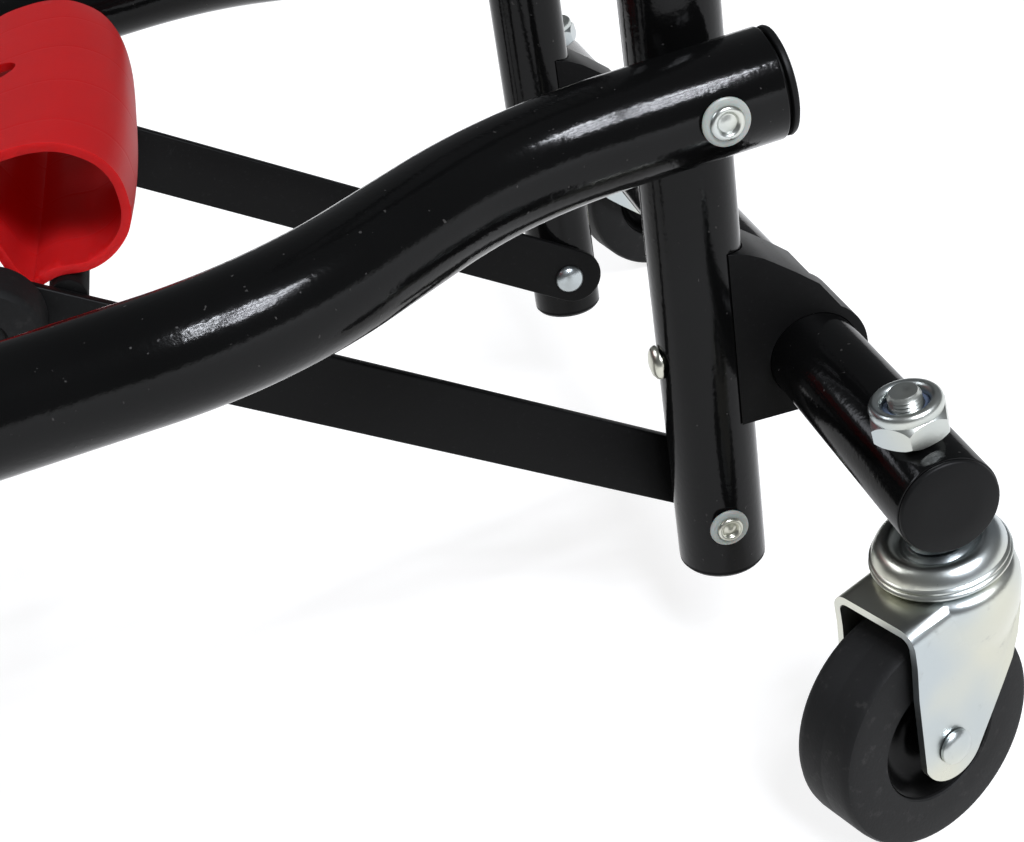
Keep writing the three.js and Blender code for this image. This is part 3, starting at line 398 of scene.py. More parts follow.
def sheet(bm, outline, low, high):
    """A flat outline in X and Z that is given its thickness along Y."""
    face = bm.faces.new([bm.verts.new((x, low, z)) for x, z in outline])
    made = bmesh.ops.extrude_face_region(bm, geom=[face])["geom"]
    verts = [g for g in made if isinstance(g, bmesh.types.BMVert)]
    bmesh.ops.translate(bm, verts=verts, vec=(0, high - low, 0))


def arc(centre, radius, start, end, steps=12):
    angles = [math.radians(start + (end - start) * i / steps) for i in range(steps + 1)]
    return [(centre[0] + radius * math.cos(a), centre[1] + radius * math.sin(a)) for a in angles]


def soften(bm, edges, width, segments=3):
    bmesh.ops.bevel(bm, geom=list(edges), offset=width, offset_type="OFFSET", segments=segments,
                    profile=0.5, affect="EDGES", material=-1, clamp_overlap=True)


def sharp_edges(bm, degrees=40):
    return [e for e in bm.edges if e.is_manifold and e.calc_face_angle(0) > math.radians(degrees)]


def lowest(edge):
    return min(vert.co.z for vert in edge.verts)


def in_side_face(edge):
    """True for an edge of the outline of a sheet, and false for one that runs across it."""
    return abs(edge.verts[0].co.y - edge.verts[1].co.y) < 1


def block(bm, centre, size, turned=Matrix()):
    place = turned @ Matrix.Translation(centre) @ Matrix.Diagonal((*size, 1))
    bmesh.ops.create_cube(bm, size=1, matrix=place)


def carve(bm, *cutters, added=()):
    """Joins the added shapes to the first and cuts the others out, with Boolean modifiers."""
    def as_object(shape, name):
        bmesh.ops.recalc_face_normals(shape, faces=shape.faces)
        mesh = bpy.data.meshes.new(name)
        shape.to_mesh(mesh)
        shape.free()
        made = bpy.data.objects.new(name, mesh)
        bpy.context.scene.collection.objects.link(made)
        return made

    base = as_object(bm, "carved")
    tools = [(as_object(shape, "added"), "UNION") for shape in added]
    tools += [(as_object(shape, "cutter"), "DIFFERENCE") for shape in cutters]
    for tool, operation in tools:
        step = base.modifiers.new("step", "BOOLEAN")
        step.operation, step.solver, step.object = operation, "EXACT", tool
    shown = base.evaluated_get(bpy.context.evaluated_depsgraph_get())
    result = bmesh.new()
    result.from_mesh(shown.data)
    for made in [base] + [tool for tool, operation in tools]:
        bpy.data.objects.remove(made)
    return result


def merge(bm, other):
    """Adds another shape to the first, and leaves both as they are where they touch."""
    mesh = bpy.data.meshes.new("merged")
    other.to_mesh(mesh)
    other.free()
    bm.from_mesh(mesh)


def cylinder(from_point, to_point, radius, count=48):
    bm = bmesh.new()
    start, end = Vector(from_point), Vector(to_point)
    turn(bm, [(0, 0), (radius, 0), (radius, (end - start).length), (0, (end - start).length)],
         start, end - start, count)
    return bm


print("helpers are ready")

# %% [markdown]
# ## The handle tube
# One steel tube of 25 mm is bent into a tall U. Both legs are the uprights, and they run down
# past the pivot to the foot bolts. It could be a curve with a round bevel, but a ring that is
# extruded and spun gives a clean mesh with an even wall.

# %% Bend the handle tube
tube_radius, upright_y = 12.5, 90.7
foot_z, handle_top = -145.2, 700
bm = bmesh.new()
bent_tube(bm, [(0, -upright_y, foot_z), (0, -upright_y, handle_top), (0, upright_y, handle_top),
               (0, upright_y, foot_z)], [45, 45], tube_radius, 1.5)
put(bm, "handle_tube_bent", on_handle, gloss_black, "handle", ["handle_tube"])

# %% [markdown]
# ## The grip sleeve and the tube between the uprights
# Both are outside the picture. The sleeve is a turned foam piece with rounded ends and shallow
# rings. The cross tube stiffens the frame and ends in a weld bead at each upright.

# %% Make the grip sleeve and the handle's cross tube
bm = bmesh.new()
sleeve = [(12.8, -44.2), (15.2, -44.2), (16.4, -43.2), (16.8, -41.2)]
for y in range(-36, 37, 6):
    sleeve += [(16.8, y - 1.2), (16.2, y), (16.8, y + 1.2)]
sleeve += [(16.8, 41.2), (16.4, 43.2), (15.2, 44.2), (12.8, 44.2), (12.8, -44.2)]
turn(bm, sleeve, (0, 0, handle_top), (0, 1, 0))
put(bm, "handle_grip_foam", on_handle, foam, "handle", ["handle_grip"])

bm = bmesh.new()
cross_z = 330
bent_tube(bm, [(0, -79.2, cross_z), (0, 79.2, cross_z)], [], 9.5, 1.3)
for sign in sides.values():
    turn(bm, [(9.3, 0), (11.6, 0), (11.2, -1.4), (9.9, -2.6), (9.3, -2.6), (9.3, 0)],
         (0, sign * 79.4, cross_z), (0, sign, 0))
put(bm, "handle_cross_tube_welded", on_handle, gloss_black, "handle",
    ["handle_cross_tube"])

# %% [markdown]
# ## Plugs in the feet of the uprights
# A black plastic plug closes each foot with a low dome. It is turned: a stub inside the tube
# and a thin rim that covers the cut edge.

# %% Turn the foot plugs
for side, sign in sides.items():
    bm = bmesh.new()
    turn(bm, [(0, -12), (10.7, -12), (10.7, 0.2), (12.3, 0.2), (12.4, 0.9), (11.6, 1.9), (9, 2.6),
              (5, 2.95), (0, 3)], (0, sign * upright_y, foot_z), (0, 0, -1))
    put(bm, f"foot_plug_{side}", on_handle, plug_plastic, "handle",
        [f"upright_plug_{side}"])

# %% [markdown]
# ## The platform rails
# Each rail is a 27 mm tube that passes outside its upright, sweeps outward in an S and then runs
# under the deck. It rises gently from the pivot and is bent level. The corners of the S follow
# from its two bends and its offset.

# %% Bend the rails
rise = math.radians(4.46)
rail_y, rail_out_y, rail_radius = 117.2, 158.2, 13.5
rear_end, first_corner, level_corner, front_end = -14.3, 49.9, 205, -780
level_z = level_corner * math.sin(rise)


def on_rail(s, y):
    return (-s * math.cos(rise), y, s * math.sin(rise))


second_corner = first_corner + 41 / math.tan(math.radians(33.8))
for side, sign in sides.items():
    bm = bmesh.new()
    bent_tube(bm, [on_rail(rear_end, sign * rail_y), on_rail(first_corner, sign * rail_y),
                   on_rail(second_corner, sign * rail_out_y),
                   (-level_corner * math.cos(rise), sign * rail_out_y, level_z),
                   (front_end, sign * rail_out_y, level_z)],
              [85.2, 85.2, 90], rail_radius, 1.6, count=64, arc_step=2)
    soften(bm, [e for e in sharp_edges(bm, 60) if e.verts[0].co.x > 10], 0.45, 3)
    put(bm, f"rail_{side}_bent", at_pivot, gloss_black, "platform",
        [f"rail_{side}"])

# %% [markdown]
# ## End caps of the rails
# A cap is a stub with a domed flange. It stands a little off the tube's end, so a thin
# dark line shows between them.

# %% Turn the rail caps
cap = [(0, -8), (11.6, -8), (11.6, 0.9), (12.7, 0.9), (13.1, 1.2), (13.2, 1.9), (12.9, 2.5),
       (12.0, 2.9), (9, 3.15), (4, 3.3), (0, 3.3)]
outward = {"rear": (math.cos(rise), 0, -math.sin(rise)), "front": (-1, 0, 0)}
for side, sign in sides.items():
    for end, place in (("rear", on_rail(rear_end, sign * rail_y)),
                       ("front", (front_end, sign * rail_out_y, level_z))):
        bm = bmesh.new()
        turn(bm, cap, place, outward[end], 56)
        put(bm, f"rail_cap_{end}_{side}_domed", at_pivot, plug_plastic, "platform",
            [f"rail_cap_{end}_{side}"])

# %% [markdown]
# ## Tubular rivets and nylon washers
# The handle turns on long tubular rivets. Each shows a rolled lip round a shallow cup, on a
# cloudy nylon washer that keeps the coat from wearing. The profile of the lip is what makes it
# read as a rivet, so it gets more points than its size suggests. In the picture the heads stand
# a little nearer to the platform than the bolts of the frame do, and the foot bolts a little
# lower, so head_shift and foot_bolt_z move the drawn ones.

# %% Turn the pivots
def rivet_head(radius):
    lip_and_cup = ((1, 0), (1.02, 0.25), (0.97, 0.7), (0.88, 0.98), (0.76, 1.02), (0.66, 0.8),
                   (0.6, 0.35), (0.54, 0.1), (0.44, 0.15), (0.28, 0.42), (0.12, 0.5), (0, 0.52))
    return [(radius * share, height) for share, height in lip_and_cup]


def washer(radius):
    return [(3.1, 0), (radius - 0.3, 0), (radius, 0.35), (radius - 0.05, 0.75), (radius - 0.5, 1.1),
            (4.4, 1.15), (3.1, 1.0), (3.1, 0)]


head_shift, foot_bolt_z = -1.2, -129.2
bar_inside, bar_outside = 74.9, 77.9
gap, washer_height = 0.3, 1.2
for side, sign in sides.items():
    face = rail_y + rail_radius + gap
    bm = bmesh.new()
    turn(bm, washer(5.8), (head_shift, sign * face, 0), (0, sign, 0))
    put(bm, f"pivot_washer_{side}_nylon", at_pivot, nylon, "platform",
        [f"pivot_washer_{side}"])
    bm = bmesh.new()
    start = upright_y - tube_radius - (face + washer_height)
    turn(bm, [(0, start - 3.2), (3.5, start - 3.2), (5, start - 1.8), (5, start - 0.3),
              (3, start - 0.3), (3, 0)] + rivet_head(4),
         (head_shift, sign * (face + washer_height), 0), (0, sign, 0))
    put(bm, f"pivot_rivet_{side}", at_pivot, zinc, "platform", [f"pivot_bolt_{side}"])

    face = upright_y + tube_radius + gap
    bm = bmesh.new()
    turn(bm, washer(5.6), (head_shift, sign * face, foot_bolt_z), (0, sign, 0))
    put(bm, f"foot_washer_{side}_nylon", on_handle, nylon, "handle",
        [f"lower_washer_{side}"])
    bm = bmesh.new()
    start = bar_inside - (face + washer_height)
    turn(bm, [(0, start - 2.9), (2.4, start - 2.75), (4.1, start - 2.1), (5.1, start - 1.1),
              (5.3, start - 0.3), (3, start - 0.3), (3, 0)] + rivet_head(3.6),
         (head_shift, sign * (face + washer_height), foot_bolt_z), (0, sign, 0))
    put(bm, f"foot_rivet_{side}", on_handle, zinc, "handle", [f"lower_bolt_{side}"])

# %% [markdown]
# ## The caster tube
# A straight tube lies across behind the uprights and carries the casters. Its ends are closed
# by flat plugs whose rims are a little smaller than the tube, so its edge shows as a thin ring.

# %% Make the caster tube and its plugs
bm = bmesh.new()
tube_half = 181
bent_tube(bm, [(0, -tube_half, 0), (0, tube_half, 0)], [], tube_radius, 1.2, count=64)
soften(bm, [e for e in sharp_edges(bm) if abs(e.verts[0].co.y) > tube_half - 1], 0.35, 2)
put(bm, "caster_tube_long", on_caster_tube, gloss_black, "handle",
    ["caster_tube"])
for side, sign in sides.items():
    bm = bmesh.new()
    turn(bm, [(0, -6), (10.7, -6), (10.7, 0.15), (12.1, 0.15), (12.15, 0.7), (11.9, 1.1),
              (11.5, 1.35), (6, 1.5), (0, 1.5)], (0, sign * tube_half, 0), (0, sign, 0), 64)
    put(bm, f"caster_tube_plug_{side}_flat", on_caster_tube, plug_plastic, "handle",
        [f"caster_tube_plug_{side}"])

# %% [markdown]
# ## Saddle brackets
# A channel of pressed sheet wraps the caster tube and meets the back of each upright. The
# outside is a thick outline with soft folds. A smaller outline and both tubes are cut out of
# it, which leaves the sheet. A bolt from behind holds each one to its upright. It is drawn a
# little higher than the frame has it, where the picture shows it.

# %% Press the saddle brackets
saddle_roof = [(-21.8, 35.1), (-18.5, 34.5), (-15.6, 33.4), (-12.4, 31.8), (-9.6, 29.9),
               (-3.6, 25.6), (2.4, 20.9)]
saddle = saddle_roof + arc((0, 0), 15.2, 58, -90, 24) + [(-21.8, -15.9)]
saddle_inside = ([(-40, 32.6)] + [(x - 0.9, z - 2.9) for x, z in saddle_roof]
                 + [(0, 12), (0, -13.4), (-40, -13.4)])
bracket_bolt_z = -79.6
for side, sign in sides.items():
    middle = sign * upright_y
    bm = bmesh.new()
    sheet(bm, saddle, middle - 11.5, middle + 11.5)
    folds = [e for e in sharp_edges(bm, 60) if in_side_face(e)
             and max(v.co.z for v in e.verts) > -15.1 and max(v.co.x for v in e.verts) > -21.7]
    soften(bm, folds, 5, 7)
    inside = bmesh.new()
    sheet(inside, saddle_inside, middle - 9, middle + 9)
    upper = [e for e in sharp_edges(inside, 60) if in_side_face(e) and lowest(e) > 0]
    soften(inside, upper, 2.6, 5)
    tube_cut = cylinder((0, middle - 30, 0), (0, middle + 30, 0), 12.7)
    upright_cut = cylinder((-27.6, middle, -60), (-27.6, middle, 90), 12.8)
    bm = carve(bm, inside, tube_cut, upright_cut)
    put(bm, f"saddle_bracket_{side}", on_handle @ to_caster_tube, satin_black, "handle",
        [f"caster_bracket_{side}"])
    bm = bmesh.new()
    turn(bm, [(0, -2.5), (1.6, -2.4), (3.4, -1.9), (4.4, -1.1), (4.8, -0.3), (4.8, 0), (3, 0),
              (3, 38), (0, 38)], (-12.8, middle, bracket_bolt_z), (1, 0, 0), 32)
    put(bm, f"bracket_bolt_{side}_domed", on_handle, zinc, "handle",
        [f"bracket_bolt_{side}"])

# %% [markdown]
# ## Brace bars, rod and bumpers
# Two flat bars run from the foot bolts up to the platform. They are cut from bar 3 mm thick, with
# round ends. A rod joins them, and a rubber bumper sits outside each upper end.

# %% Cut the brace bars
brace_rise = math.radians(39.3)
along = Vector((-math.cos(brace_rise), math.sin(brace_rise)))
above = Vector((math.sin(brace_rise), math.cos(brace_rise)))
bar_end, bar_half = along * 204, 10.2
rod_at = along * 186.8 + above * 7.9
for side, sign in sides.items():
    low, high = sorted((sign * bar_inside, sign * bar_outside))
    bm = bmesh.new()
    round_foot = arc(along * -1.2, bar_half, -129.3, 50.7, 20)
    sheet(bm, round_foot + arc(bar_end, bar_half, 50.7, 230.7, 20), low, high)
    soften(bm, sharp_edges(bm, 60), 0.6, 3)
    put(bm, f"brace_bar_{side}_flat", on_brace, satin_black, "brace",
        [f"brace_bar_{side}"])
    bm = bmesh.new()
    turn(bm, [(0, 0), (13.2, 0), (13.6, 0.5), (13.6, 13.6), (13.2, 14.8), (12.1, 15.8), (5, 15.8),
              (4, 14.2), (0, 14.2)], (bar_end.x, sign * (bar_outside + gap), bar_end.y),
         (0, sign, 0), 56)
    put(bm, f"brace_bumper_{side}_round", on_brace, tyre_rubber, "brace",
        [f"brace_bumper_{side}"])

bm = bmesh.new()
turn(bm, [(0, -74.6), (4.7, -74.6), (5, -74.2), (5, 74.2), (4.7, 74.6), (0, 74.6)],
     (rod_at.x, 0, rod_at.y), (0, 1, 0))
put(bm, "brace_rod_turned", on_brace, satin_black, "brace", ["brace_rod"])

# %% [markdown]
# ## The red release grip
# A hollow red moulding lies over the rod. Its section is a rounded drop with a thin wall. The
# section is drawn as a smooth closed curve, extruded in short lengths with a shallow groove at
# each mould line, and then given its wall. A round hole goes through the top. Arms at the back
# reach the rear cross tube, and two fingers stand beside the rod.

# %% Shape the release grip
drop = [(-8.7, 6.4), (-6.2, 4.3), (-3.2, 4.9), (1.6, 5.3), (9.4, 3.8), (16.4, 5.0), (22.6, 8.6),
        (26.0, 13.2), (27.5, 18.6), (27.6, 24.0), (25.6, 29.4), (21.6, 33.9), (16.4, 37.4),
        (10.0, 39.4), (3.0, 40.2), (-5.0, 40.2), (-11.4, 38.6), (-15.4, 34.6), (-15.8, 29.6),
        (-13.4, 23.6), (-11.4, 17.4), (-10.5, 10.6)]
at_grip = on_brace @ Matrix.Translation((rod_at.x, 0, rod_at.y))
grip_half = 72
wide_about = Matrix.Translation((15.8, 0, 0))
deep_about = Matrix.Translation((-6, 0, -22))
arm_y, finger_y = 50, 30


def smooth_loop(points, steps=5):
    """A closed curve through the points, each bend shared with its neighbours."""
    curve = []
    count = len(points)
    for i in range(count):
        a, b, c, d = (Vector(points[(i + k) % count]) for k in (-1, 0, 1, 2))
        for t in (k / steps for k in range(steps)):
            curve.append(0.5 * (2 * b + (c - a) * t + (2 * a - 5 * b + 4 * c - d) * t * t
                                + (3 * b - a - 3 * c + d) * t ** 3))
    return curve


def grip_size(y, groove):
    """The section is widest in the middle, and each mould line is a little smaller all round."""
    return 1 - 0.07 * (abs(y) / grip_half) ** (3 if y < 0 else 4), 1 - groove / 22


mould_lines = [-55, -21, 13, 47]
stations = {y: 0 for y in range(-grip_half, grip_half + 1, 6)
            if min(abs(y - line) for line in mould_lines) > 2}
for line in mould_lines:
    stations.update({line + shift: 0 for shift in (-1.4, -0.45, 0.45, 1.4)})
    stations[line] = 0.1
bm = bmesh.new()
loop = [bm.verts.new((p.x, -grip_half, p.y)) for p in smooth_loop(drop)]
geom = loop + [bm.edges.new((a, b)) for a, b in zip(loop, loop[1:] + loop[:1])]
here, wide, deep = -grip_half, *grip_size(-grip_half, 0)
bmesh.ops.scale(bm, verts=loop, vec=(wide, 1, 1), space=wide_about)
for y in sorted(stations)[1:]:
    geom = grow(bm, geom, (0, y - here, 0))
    verts = [g for g in geom if isinstance(g, bmesh.types.BMVert)]
    wide_now, deep_now = grip_size(y, stations[y])
    bmesh.ops.scale(bm, verts=verts, vec=(wide_now / wide, 1, 1), space=wide_about)
    size = deep_now / deep
    bmesh.ops.scale(bm, verts=verts, vec=(size, 1, size), space=deep_about)
    here, wide, deep = y, wide_now, deep_now
bmesh.ops.recalc_face_normals(bm, faces=bm.faces)
bmesh.ops.solidify(bm, geom=bm.faces[:], thickness=2.4)
rims = [e for e in sharp_edges(bm, 60) if abs(abs(e.verts[0].co.y) - grip_half) < 0.1]
soften(bm, rims, 0.9, 4)
bm = carve(bm, cylinder((-5.6, 3, 35.6), (-8.2, 3, 46), 8.4))
eye_at = joint_at["grip_lift"] - at_grip.translation
eye = (eye_at.x * 1000, eye_at.z * 1000)
for sign in sides.values():
    arm = bmesh.new()
    middle = sign * arm_y
    sheet(arm, [(-9.9, 17), (-14.2, 35)] + arc(eye, 16, 97, 263, 20), middle - 3, middle + 3)
    soften(arm, sharp_edges(arm, 60), 0.6, 2)
    arm = carve(arm, cylinder((eye[0], middle - 9, eye[1]), (eye[0], middle + 9, eye[1]), 11.1))
    merge(bm, arm)
    finger = bmesh.new()
    block(finger, (8.2, sign * finger_y, 0.6), (4, 10, 11.2))
    soften(finger, finger.edges[:], 0.6, 2)
    merge(bm, finger)
put(bm, "release_grip_moulded", at_grip, red_moulding, "release_grip",
    ["release_grip"])

# %% [markdown]
# ## Casters: lock nut, stem and bearing cup
# The stem of each caster passes up through the tube into a lock nut with a nylon ring. Below the
# tube a rolled bearing cup sits on the fork. All three are turned. The nut starts as a six-sided
# bar whose corners are turned off at both faces.

# %% Make nuts, stems and cups
turns = {"near": math.radians(20), "far": math.radians(190)}
stem_y = 167.6
wheel_x, wheel_z = -19.5, -64.9
cup = [(4.3, -3.1), (4.3, 3.9), (7.6, 3.9), (7.8, 3.2), (8.4, 2.5), (9.2, 2.6), (10.1, 3.7),
       (11.2, 4.8), (12.6, 5.2), (14.0, 4.7), (15.2, 3.4), (16.0, 1.9), (16.2, 1.2), (16.55, 1.0),
       (16.85, 0.6), (16.8, 0.1), (16.5, -0.2), (16.9, -0.4), (17.2, -0.9), (17.1, -1.5),
       (16.4, -2.1), (14.4, -2.9), (4.3, -3.1)]
fork_place, wheel_place = {}, {}
for side, sign in sides.items():
    at_stem = on_caster_tube @ Matrix.Translation((0, sign * stem_y, 0))
    fork_place[side] = at_stem @ Matrix.Rotation(turns[side], 4, "Z")
    wheel_place[side] = fork_place[side] @ Matrix.Translation((wheel_x, 0, wheel_z))

    bm = bmesh.new()
    turn(bm, [(0, 13.6), (9.8, 13.6), (9.8, 20.4), (0, 20.4)], steps=6)
    bmesh.ops.rotate(bm, verts=bm.verts, matrix=Matrix.Rotation(math.radians(22), 3, "Z"))
    rounding = bmesh.new()
    turn(rounding, [(8.1, 12), (8.1, 13.6), (9.0, 14.1), (9.9, 15.0), (9.9, 18.2), (9.2, 19.2),
                    (8.45, 19.9), (8.45, 21), (14, 21), (14, 12), (8.1, 12)], steps=72)
    bm = carve(bm, rounding)
    collar = bmesh.new()
    turn(collar, [(5.5, 19.2), (8.3, 19.2), (8.55, 20.3), (8.6, 21.2), (8.4, 22.0), (7.9, 22.6),
                  (7.2, 22.85), (6.5, 22.7), (5.9, 22.2), (5.6, 21.5), (5.5, 20.6), (5.5, 19.2)],
         steps=72)
    merge(bm, collar)
    put(bm, f"lock_nut_{side}", at_stem, zinc, "handle", [f"stem_nut_{side}"],
        crease=32)
    bm = bmesh.new()
    turn(bm, [(4.1, 19.3), (5.45, 19.3), (5.45, 20.6), (4.9, 21.0), (4.3, 20.9), (4.1, 20.5),
              (4.1, 19.3)], steps=56)
    put(bm, f"nut_insert_{side}", at_stem, nut_nylon, "handle")

    bm = bmesh.new()
    threads = [(4 if i % 2 else 3.62, 19 + i * 0.5) for i in range(11)]
    turn(bm, [(0, -30.4), (5.6, -30.4), (7, -29.4), (7, -28.3), (4, -28.3), (4, -18.2),
              (7.1, -18.2), (7.3, -17.6), (7.3, -12.8), (4, -12.8), (4, 18.6)] + threads
         + [(3.5, 24.4), (3.3, 24.75), (1.8, 24.8), (0.9, 24.5), (0, 24.45)], steps=48)
    put(bm, f"caster_stem_{side}_threaded", at_stem, zinc, "handle",
        [f"caster_stem_{side}"])

    bm = bmesh.new()
    turn(bm, [(r, z - 22.5) for r, z in cup], steps=72)
    put(bm, f"bearing_cup_{side}", at_stem, zinc, "handle", [f"caster_race_{side}"])

# %% [markdown]
# ## Casters: fork and rivet
# The fork is one strip of sheet, folded down on both sides of the wheel and rounded at the axle.
# A thick outline with soft folds is joined to a turned bowl, which makes the round shoulder
# under the cup. A smaller block and a smaller bowl are cut out, which leaves the sheet.

# %% Press the forks
cheek = ([(-23.5, -26), (-24.5, -35.5), (-26.2, -44.5)] + arc((wheel_x, wheel_z), 9.7, 190, 322, 22)
         + [(-5.2, -63.4), (-0.8, -58.4), (3.6, -53.1), (6.8, -47), (9.4, -39.5), (10.6, -33.5),
            (10.6, -26)])
bowl = [(0, -26), (14.4, -26), (16.0, -26.5), (17.2, -27.8), (17.8, -30), (17.7, -33.5),
        (16.9, -38), (15.5, -42.5), (13.6, -47.5), (11, -52), (0, -52)]
bowl_inside = [(0, -28.1), (13.4, -28.1), (14.6, -28.5), (15.4, -29.6), (15.8, -31.2), (15.7, -34),
               (14.9, -38), (13.5, -42.5), (11.7, -47), (0, -47)]
for side in sides:
    bm = bmesh.new()
    sheet(bm, cheek, -13.8, 13.8)
    top = [e for e in sharp_edges(bm, 60) if lowest(e) > -26.5 and in_side_face(e)]
    soften(bm, top, 4.6, 8)
    shoulder, hollow, inner = bmesh.new(), bmesh.new(), bmesh.new()
    turn(shoulder, bowl, steps=72)
    turn(hollow, bowl_inside, steps=72)
    block(inner, (0, 0, -68.2), (90, 23.6, 80))
    soften(inner, [e for e in inner.edges if lowest(e) > -30 and in_side_face(e)], 2.6, 6)
    bm = carve(bm, inner, hollow, cylinder((0, 0, -35), (0, 0, -20), 4.1), added=[shoulder])
    put(bm, f"fork_{side}_pressed", fork_place[side], zinc, f"caster_fork_{side}",
        [f"caster_fork_{side}"])
    bm = bmesh.new()
    head = [(0, 16.3), (1.6, 16.25), (3.1, 15.95), (4.2, 15.4), (4.65, 14.9), (4.7, 14.1)]
    turn(bm, [(r, -y) for r, y in head] + [(3, -14.1), (3, 14.1)] + head[::-1], axis=(0, 1, 0),
         steps=40)
    put(bm, f"fork_rivet_{side}", wheel_place[side], zinc, f"caster_fork_{side}",
        [f"caster_rivet_{side}"])

# %% [markdown]
# ## Casters: wheels
# The tread is rubber with a flat band on each side. The hub is glossy plastic with a deep dish
# round the rivet. They are separate mouldings, so each is turned by itself.

# %% Turn the caster wheels
for side in sides:
    bm = bmesh.new()
    turn(bm, [(17.8, -9.5), (22, -9.45), (28.6, -9.3), (29.7, -8.9), (30.3, -7.9), (30.5, -6.4),
              (30.5, -0.25), (30.46, 0), (30.5, 0.25), (30.5, 6.4), (30.3, 7.9), (29.7, 8.9),
              (28.6, 9.3), (22, 9.45), (17.8, 9.5), (17.4, 9.1), (17.4, -9.1), (17.8, -9.5)],
         axis=(0, 1, 0), steps=96)
    put(bm, f"caster_tread_{side}_rubber", wheel_place[side], tread_rubber, f"caster_wheel_{side}",
        [f"caster_tread_{side}"])
    bm = bmesh.new()
    dish = [(6.5, 11.4), (6.5, 4.6), (7.2, 3.6), (8.6, 3.1), (11.8, 3.1), (13.6, 3.8), (14.9, 5.4),
            (16.2, 7.9), (17.1, 8.6)]
    turn(bm, [(3.1, -11.4)] + [(r, -y) for r, y in dish] + dish[::-1] + [(3.1, 11.4), (3.1, -11.4)],
         axis=(0, 1, 0), steps=72)
    put(bm, f"caster_hub_{side}_dished", wheel_place[side], hub_plastic, f"caster_wheel_{side}",
        [f"caster_hub_{side}"])

# %% [markdown]
# ## Cross tubes, axle and axle plates
# Under the deck two tubes join the rails, with a weld bead at each end. Sheet plates hang from
# the rails and hold the front axle.

# %% Make the tubes and plates under the deck
for name, x in (("rear", -212), ("front", -745)):
    bm = bmesh.new()
    bent_tube(bm, [(x, -146, level_z), (x, 146, level_z)], [], 11, 1.5)
    for sign in sides.values():
        turn(bm, [(10.8, 0), (13, 0), (12.6, -1.8), (11.4, -3.2), (10.8, -3.2), (10.8, 0)],
             (x, sign * 146.6, level_z), (0, sign, 0))
    put(bm, f"cross_tube_{name}_welded", at_pivot, gloss_black, "platform",
        [f"cross_tube_{name}"])

wheel_radius = 100
axle_x, axle_z = -655, wheel_radius - joint_at["handle_fold"].z * 1000
bm = bmesh.new()
turn(bm, [(0, -234.7), (7.4, -234.7), (8, -234), (8, 234), (7.4, 234.7), (0, 234.7)],
     (axle_x, 0, axle_z), (0, 1, 0))
put(bm, "front_axle_turned", at_pivot, zinc, "platform", ["front_axle"])
for side, sign in sides.items():
    bm = bmesh.new()
    outline = ([(-55, level_z), (-55, level_z - 18.9)] + arc((0, axle_z), 17, 205, 335, 20)
               + [(55, level_z - 18.9), (55, level_z)])
    middle = sign * rail_out_y
    sheet(bm, [(x + axle_x, z) for x, z in outline], middle - 2.5, middle + 2.5)
    soften(bm, sharp_edges(bm, 60), 0.5, 2)
    rail_cut = cylinder((axle_x - 90, middle, level_z), (axle_x + 90, middle, level_z), 13.7, 64)
    bm = carve(bm, rail_cut)
    put(bm, f"axle_plate_{side}_cut", at_pivot, satin_black, "platform",
        [f"axle_plate_{side}"])
    bm = bmesh.new()
    turn(bm, [(8.3, 0), (13.6, 0), (14, 0.6), (14, 8.2), (13.2, 10.2), (11, 11.6), (8, 12), (0, 12),
              (0, 9), (8.3, 9), (8.3, 0)], (axle_x, sign * 226, axle_z), (0, sign, 0))
    put(bm, f"axle_cap_{side}_domed", at_pivot, zinc, "platform",
        [f"axle_cap_{side}"])

# %% [markdown]
# ## Front wheels
# The front wheels are outside the picture, and large, as such a trolley has them. The tyre has
# grooves round the tread. The hub is a moulding with a dished web and radial ribs.

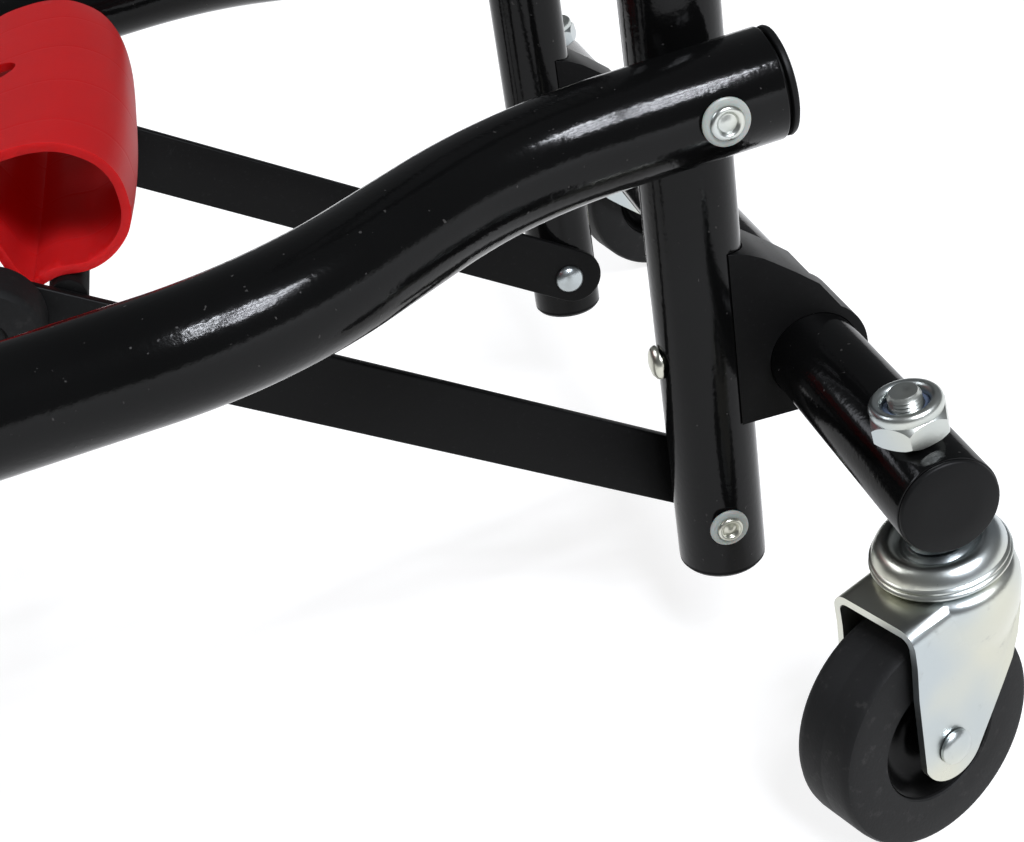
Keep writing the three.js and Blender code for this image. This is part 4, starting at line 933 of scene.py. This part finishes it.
# %% Turn the front wheels
for side, sign in sides.items():
    place = at_pivot @ Matrix.Translation((axle_x, sign * 199.7, axle_z))
    half = [(72, 0), (72, 18), (75.5, 21.4), (84, 22), (92, 21.6), (96.8, 19.6), (99.2, 17.2),
            (99.8, 14.5), (99.9, 12.4), (97.6, 11.8), (97.6, 9.9), (100, 9.3), (100, 1.8),
            (97.6, 1.2), (97.6, 0)]
    bm = bmesh.new()
    turn(bm, half + [(r, -y) for r, y in half[::-1]], axis=(0, 1, 0), steps=120)
    put(bm, f"front_tyre_{side}_grooved", place, tyre_rubber, f"front_wheel_{side}",
        [f"front_tyre_{side}"])
    inner, outer = (-38.0, 26.0) if sign > 0 else (-26.0, 38.0)
    bm = bmesh.new()
    turn(bm, [(8.1, inner), (15.6, inner), (17, inner * 0.96), (17.6, -3.5), (62, -3.5), (65, -6),
              (65.6, -17), (66.6, -18), (71, -18), (71.7, -17.4), (71.7, 17.4), (71, 18),
              (66.6, 18), (65.6, 17), (65, 6), (62, 3.5), (17.6, 3.5), (17, outer * 0.96),
              (15.6, outer), (8.1, outer), (8.1, inner)], axis=(0, 1, 0), steps=96)
    for spoke in range(6):
        rib = bmesh.new()
        spin = Matrix.Rotation(math.radians(60 * spoke), 4, "Y")
        block(rib, (41, 0, 0), (50, 26, 5), spin)
        soften(rib, rib.edges[:], 1.2, 2)
        merge(bm, rib)
    put(bm, f"front_hub_{side}_ribbed", place, hub_plastic, f"front_wheel_{side}",
        [f"front_hub_{side}"])

# %% [markdown]
# ## The deck board
# The load stands on a moulded board with rounded corners. A raised rim and long ribs keep a box
# from sliding. The board is an extruded outline whose top is inset and lowered, and the ribs are
# long blocks that stand in it.

# %% Mould the deck board
deck_bottom = level_z + 13.8
low_x, high_x, half_y, corner = -772, -235, 172.2, 18
left, right, near, far = low_x + corner, high_x - corner, -half_y + corner, half_y - corner
outline = (arc((left, near), corner, 180, 270, 10) + arc((right, near), corner, 270, 360, 10)
           + arc((right, far), corner, 0, 90, 10) + arc((left, far), corner, 90, 180, 10))
bm = bmesh.new()
board = bm.faces.new([bm.verts.new((x, y, deck_bottom)) for x, y in outline])
made = bmesh.ops.extrude_face_region(bm, geom=[board])["geom"]
raised = [g for g in made if isinstance(g, bmesh.types.BMVert)]
bmesh.ops.translate(bm, verts=raised, vec=(0, 0, 12))
soften(bm, [e for e in sharp_edges(bm, 60) if lowest(e) > deck_bottom + 1], 2.2, 3)
top_face = max(bm.faces, key=lambda face: (face.calc_center_median().z, face.calc_area()))
bmesh.ops.inset_individual(bm, faces=[top_face], thickness=9, depth=0)
bmesh.ops.inset_individual(bm, faces=[top_face], thickness=1, depth=-1.4)
rib_spacing = 21
for row in range(-7, 8):
    rib = bmesh.new()
    block(rib, ((low_x + high_x) / 2, row * rib_spacing, deck_bottom + 11.2), (490, 7, 1.6))
    soften(rib, [e for e in rib.edges if lowest(e) > deck_bottom + 11.5], 0.6, 2)
    merge(bm, rib)
put(bm, "deck_board_ribbed", at_pivot, deck_moulding, "platform", ["deck_board"])
